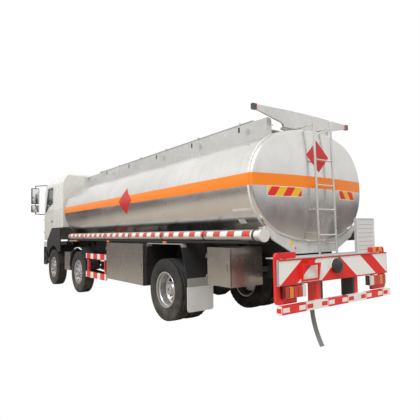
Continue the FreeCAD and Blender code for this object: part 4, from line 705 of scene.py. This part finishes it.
# Mirror faces, side lamps and coaming latches
MIRROR_GLASS = worn("mirror_glass", (0.80, 0.82, 0.84), 0.04, 1.0, 0.0, 0.03)
AMBER = worn("amber_lens", (0.85, 0.26, 0.01), 0.2, 0.0, 1.0, 0.1)
LATCH = worn("latch_black", (0.03, 0.03, 0.03), 0.45, 0.3, 0.0, 0.15)
for hand, side in SIDES.items():
    low, high = sorted((side * 1.312, side * 1.508))
    for name, z0, z1 in (("wide", 2.246, 2.440), ("main", 2.525, 2.990)):
        glass = block("mirror_%s_%s" % (name, hand), (7.867, low, z0), (7.8705, high, z1), MIRROR_GLASS,
                      "cab", 0.0015)
    low, high = sorted((side * 1.108, side * 1.190))
    for number, x in enumerate((0.0, 2.45, 4.6)):
        lamp = block("side_lamp_%s_%d" % (hand, number), (x - 0.05, low, 1.305), (x + 0.05, high, 1.345),
                     AMBER, "chassis", 0.008)
    low, high = sorted((side * 0.779, side * 0.786))
    for number in range(6):
        x = -1.55 + number * 1.25
        latch = block("coaming_latch_%s_%d" % (hand, number), (x, low, 2.95), (x + 0.03, high, 3.03), LATCH,
                      "chassis", 0.002)


# Ground strap: a flat ribbon
STRAP_ROUTE = [(-2.490, 0.411, 0.5045), (-2.500, 0.411, 0.250), (-2.640, 0.411, 0.008)]
STRAP_WIDTH = 0.086
STRAP_HALF_THICK = 0.003


def make_strap():
    """The strap as a curve through its route, its width across the truck."""
    curve = bpy.data.curves.new("ground_strap_line", "CURVE")
    curve.dimensions = "3D"
    spline = curve.splines.new("NURBS")
    spline.points.add(len(STRAP_ROUTE) - 1)
    for point, place in zip(spline.points, STRAP_ROUTE):
        point.co = (*at(*place), 1)
        point.tilt = math.pi / 2
    spline.order_u = 3
    spline.use_endpoint_u = True
    curve.extrude = STRAP_WIDTH / 2 - STRAP_HALF_THICK
    curve.bevel_depth = STRAP_HALF_THICK
    curve.bevel_resolution = 2
    curve.resolution_u = 24
    curve.materials.append(STRAP.mat)
    obj = bpy.data.objects.new("ground_strap_line", curve)
    bpy.context.collection.objects.link(obj)
    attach(obj, "chassis")
    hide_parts("ground_strap")


make_strap()


# Floor, light and surroundings
def make_stage():
    """The floor, the world's light and the key light; the camera sees both backgrounds as white."""
    s = Shade("pale_floor", (0.5, 0.49, 0.47), 0.9)
    tree = s.tree
    path = tree.nodes.new("ShaderNodeLightPath")
    glow = tree.nodes.new("ShaderNodeEmission")
    glow.inputs["Color"].default_value = (1, 1, 1, 1)
    glow.inputs["Strength"].default_value = 1.0
    blend = tree.nodes.new("ShaderNodeMixShader")
    tree.links.new(path.outputs["Is Camera Ray"], blend.inputs[0])
    tree.links.new(s.bsdf.outputs[0], blend.inputs[1])
    tree.links.new(glow.outputs[0], blend.inputs[2])
    tree.links.new(blend.outputs[0], tree.nodes["Material Output"].inputs["Surface"])
    away = s.math("SQRT", s.math("ADD", s.math("MULTIPLY", s.x, s.x), s.math("MULTIPLY", s.y, s.y)))
    near = s.mix(s.noise(0.6, 4), (0.36, 0.32, 0.27), (0.46, 0.42, 0.36))
    s.colour(s.mix(s.scaled(away, 7.0, 16.0), near, (0.085, 0.062, 0.062)))
    data = bpy.data.meshes.new("floor")
    reach, low = 60.0, -0.002
    corners = [(-reach, -reach, low), (reach, -reach, low), (reach, reach, low), (-reach, reach, low)]
    data.from_pydata(corners, [], [(0, 1, 2, 3)])
    data.materials.append(s.mat)
    floor = bpy.data.objects.new("floor", data)
    bpy.context.collection.objects.link(floor)

    world = bpy.data.worlds.new("studio")
    bpy.context.scene.world = world
    world.use_nodes = True
    nodes, links = world.node_tree.nodes, world.node_tree.links
    nodes.clear()
    coords = nodes.new("ShaderNodeTexCoord")
    split = nodes.new("ShaderNodeSeparateXYZ")
    ramp = nodes.new("ShaderNodeValToRGB")
    links.new(coords.outputs["Generated"], split.inputs[0])
    scale = nodes.new("ShaderNodeMapRange")
    scale.inputs["From Min"].default_value = -1
    links.new(split.outputs[2], scale.inputs["Value"])
    links.new(scale.outputs[0], ramp.inputs[0])
    stops = [(0.0, (0.25, 0.23, 0.2)), (0.495, (0.10, 0.075, 0.075)), (0.515, (0.20, 0.18, 0.18)),
             (0.545, (0.80, 0.80, 0.80)), (0.70, (1.0, 0.99, 0.97)), (1.0, (1.0, 0.99, 0.97))]
    ramp.color_ramp.elements[0].position = stops[0][0]
    ramp.color_ramp.elements[0].color = (*stops[0][1], 1)
    ramp.color_ramp.elements[1].position = stops[-1][0]
    ramp.color_ramp.elements[1].color = (*stops[-1][1], 1)
    for position, colour in stops[1:-1]:
        element = ramp.color_ramp.elements.new(position)
        element.color = (*colour, 1)
    seen = nodes.new("ShaderNodeBackground")
    seen.inputs["Color"].default_value = (1, 1, 1, 1)
    light = nodes.new("ShaderNodeBackground")
    light.inputs["Strength"].default_value = 1.0
    links.new(ramp.outputs[0], light.inputs["Color"])
    path = nodes.new("ShaderNodeLightPath")
    blend = nodes.new("ShaderNodeMixShader")
    output = nodes.new("ShaderNodeOutputWorld")
    links.new(path.outputs["Is Camera Ray"], blend.inputs[0])
    links.new(light.outputs[0], blend.inputs[1])
    links.new(seen.outputs[0], blend.inputs[2])
    links.new(blend.outputs[0], output.inputs["Surface"])

    sun = bpy.data.lights.new("key", "SUN")
    sun.energy = 2.0
    sun.angle = math.radians(25)
    lamp = bpy.data.objects.new("key", sun)
    lamp.rotation_euler = Vector((0.35, -0.75, -1.0)).to_track_quat("-Z", "Y").to_euler()
    bpy.context.collection.objects.link(lamp)


make_stage()
bpy.context.scene.view_settings.view_transform = "Standard"
bpy.context.scene.view_settings.look = "None"
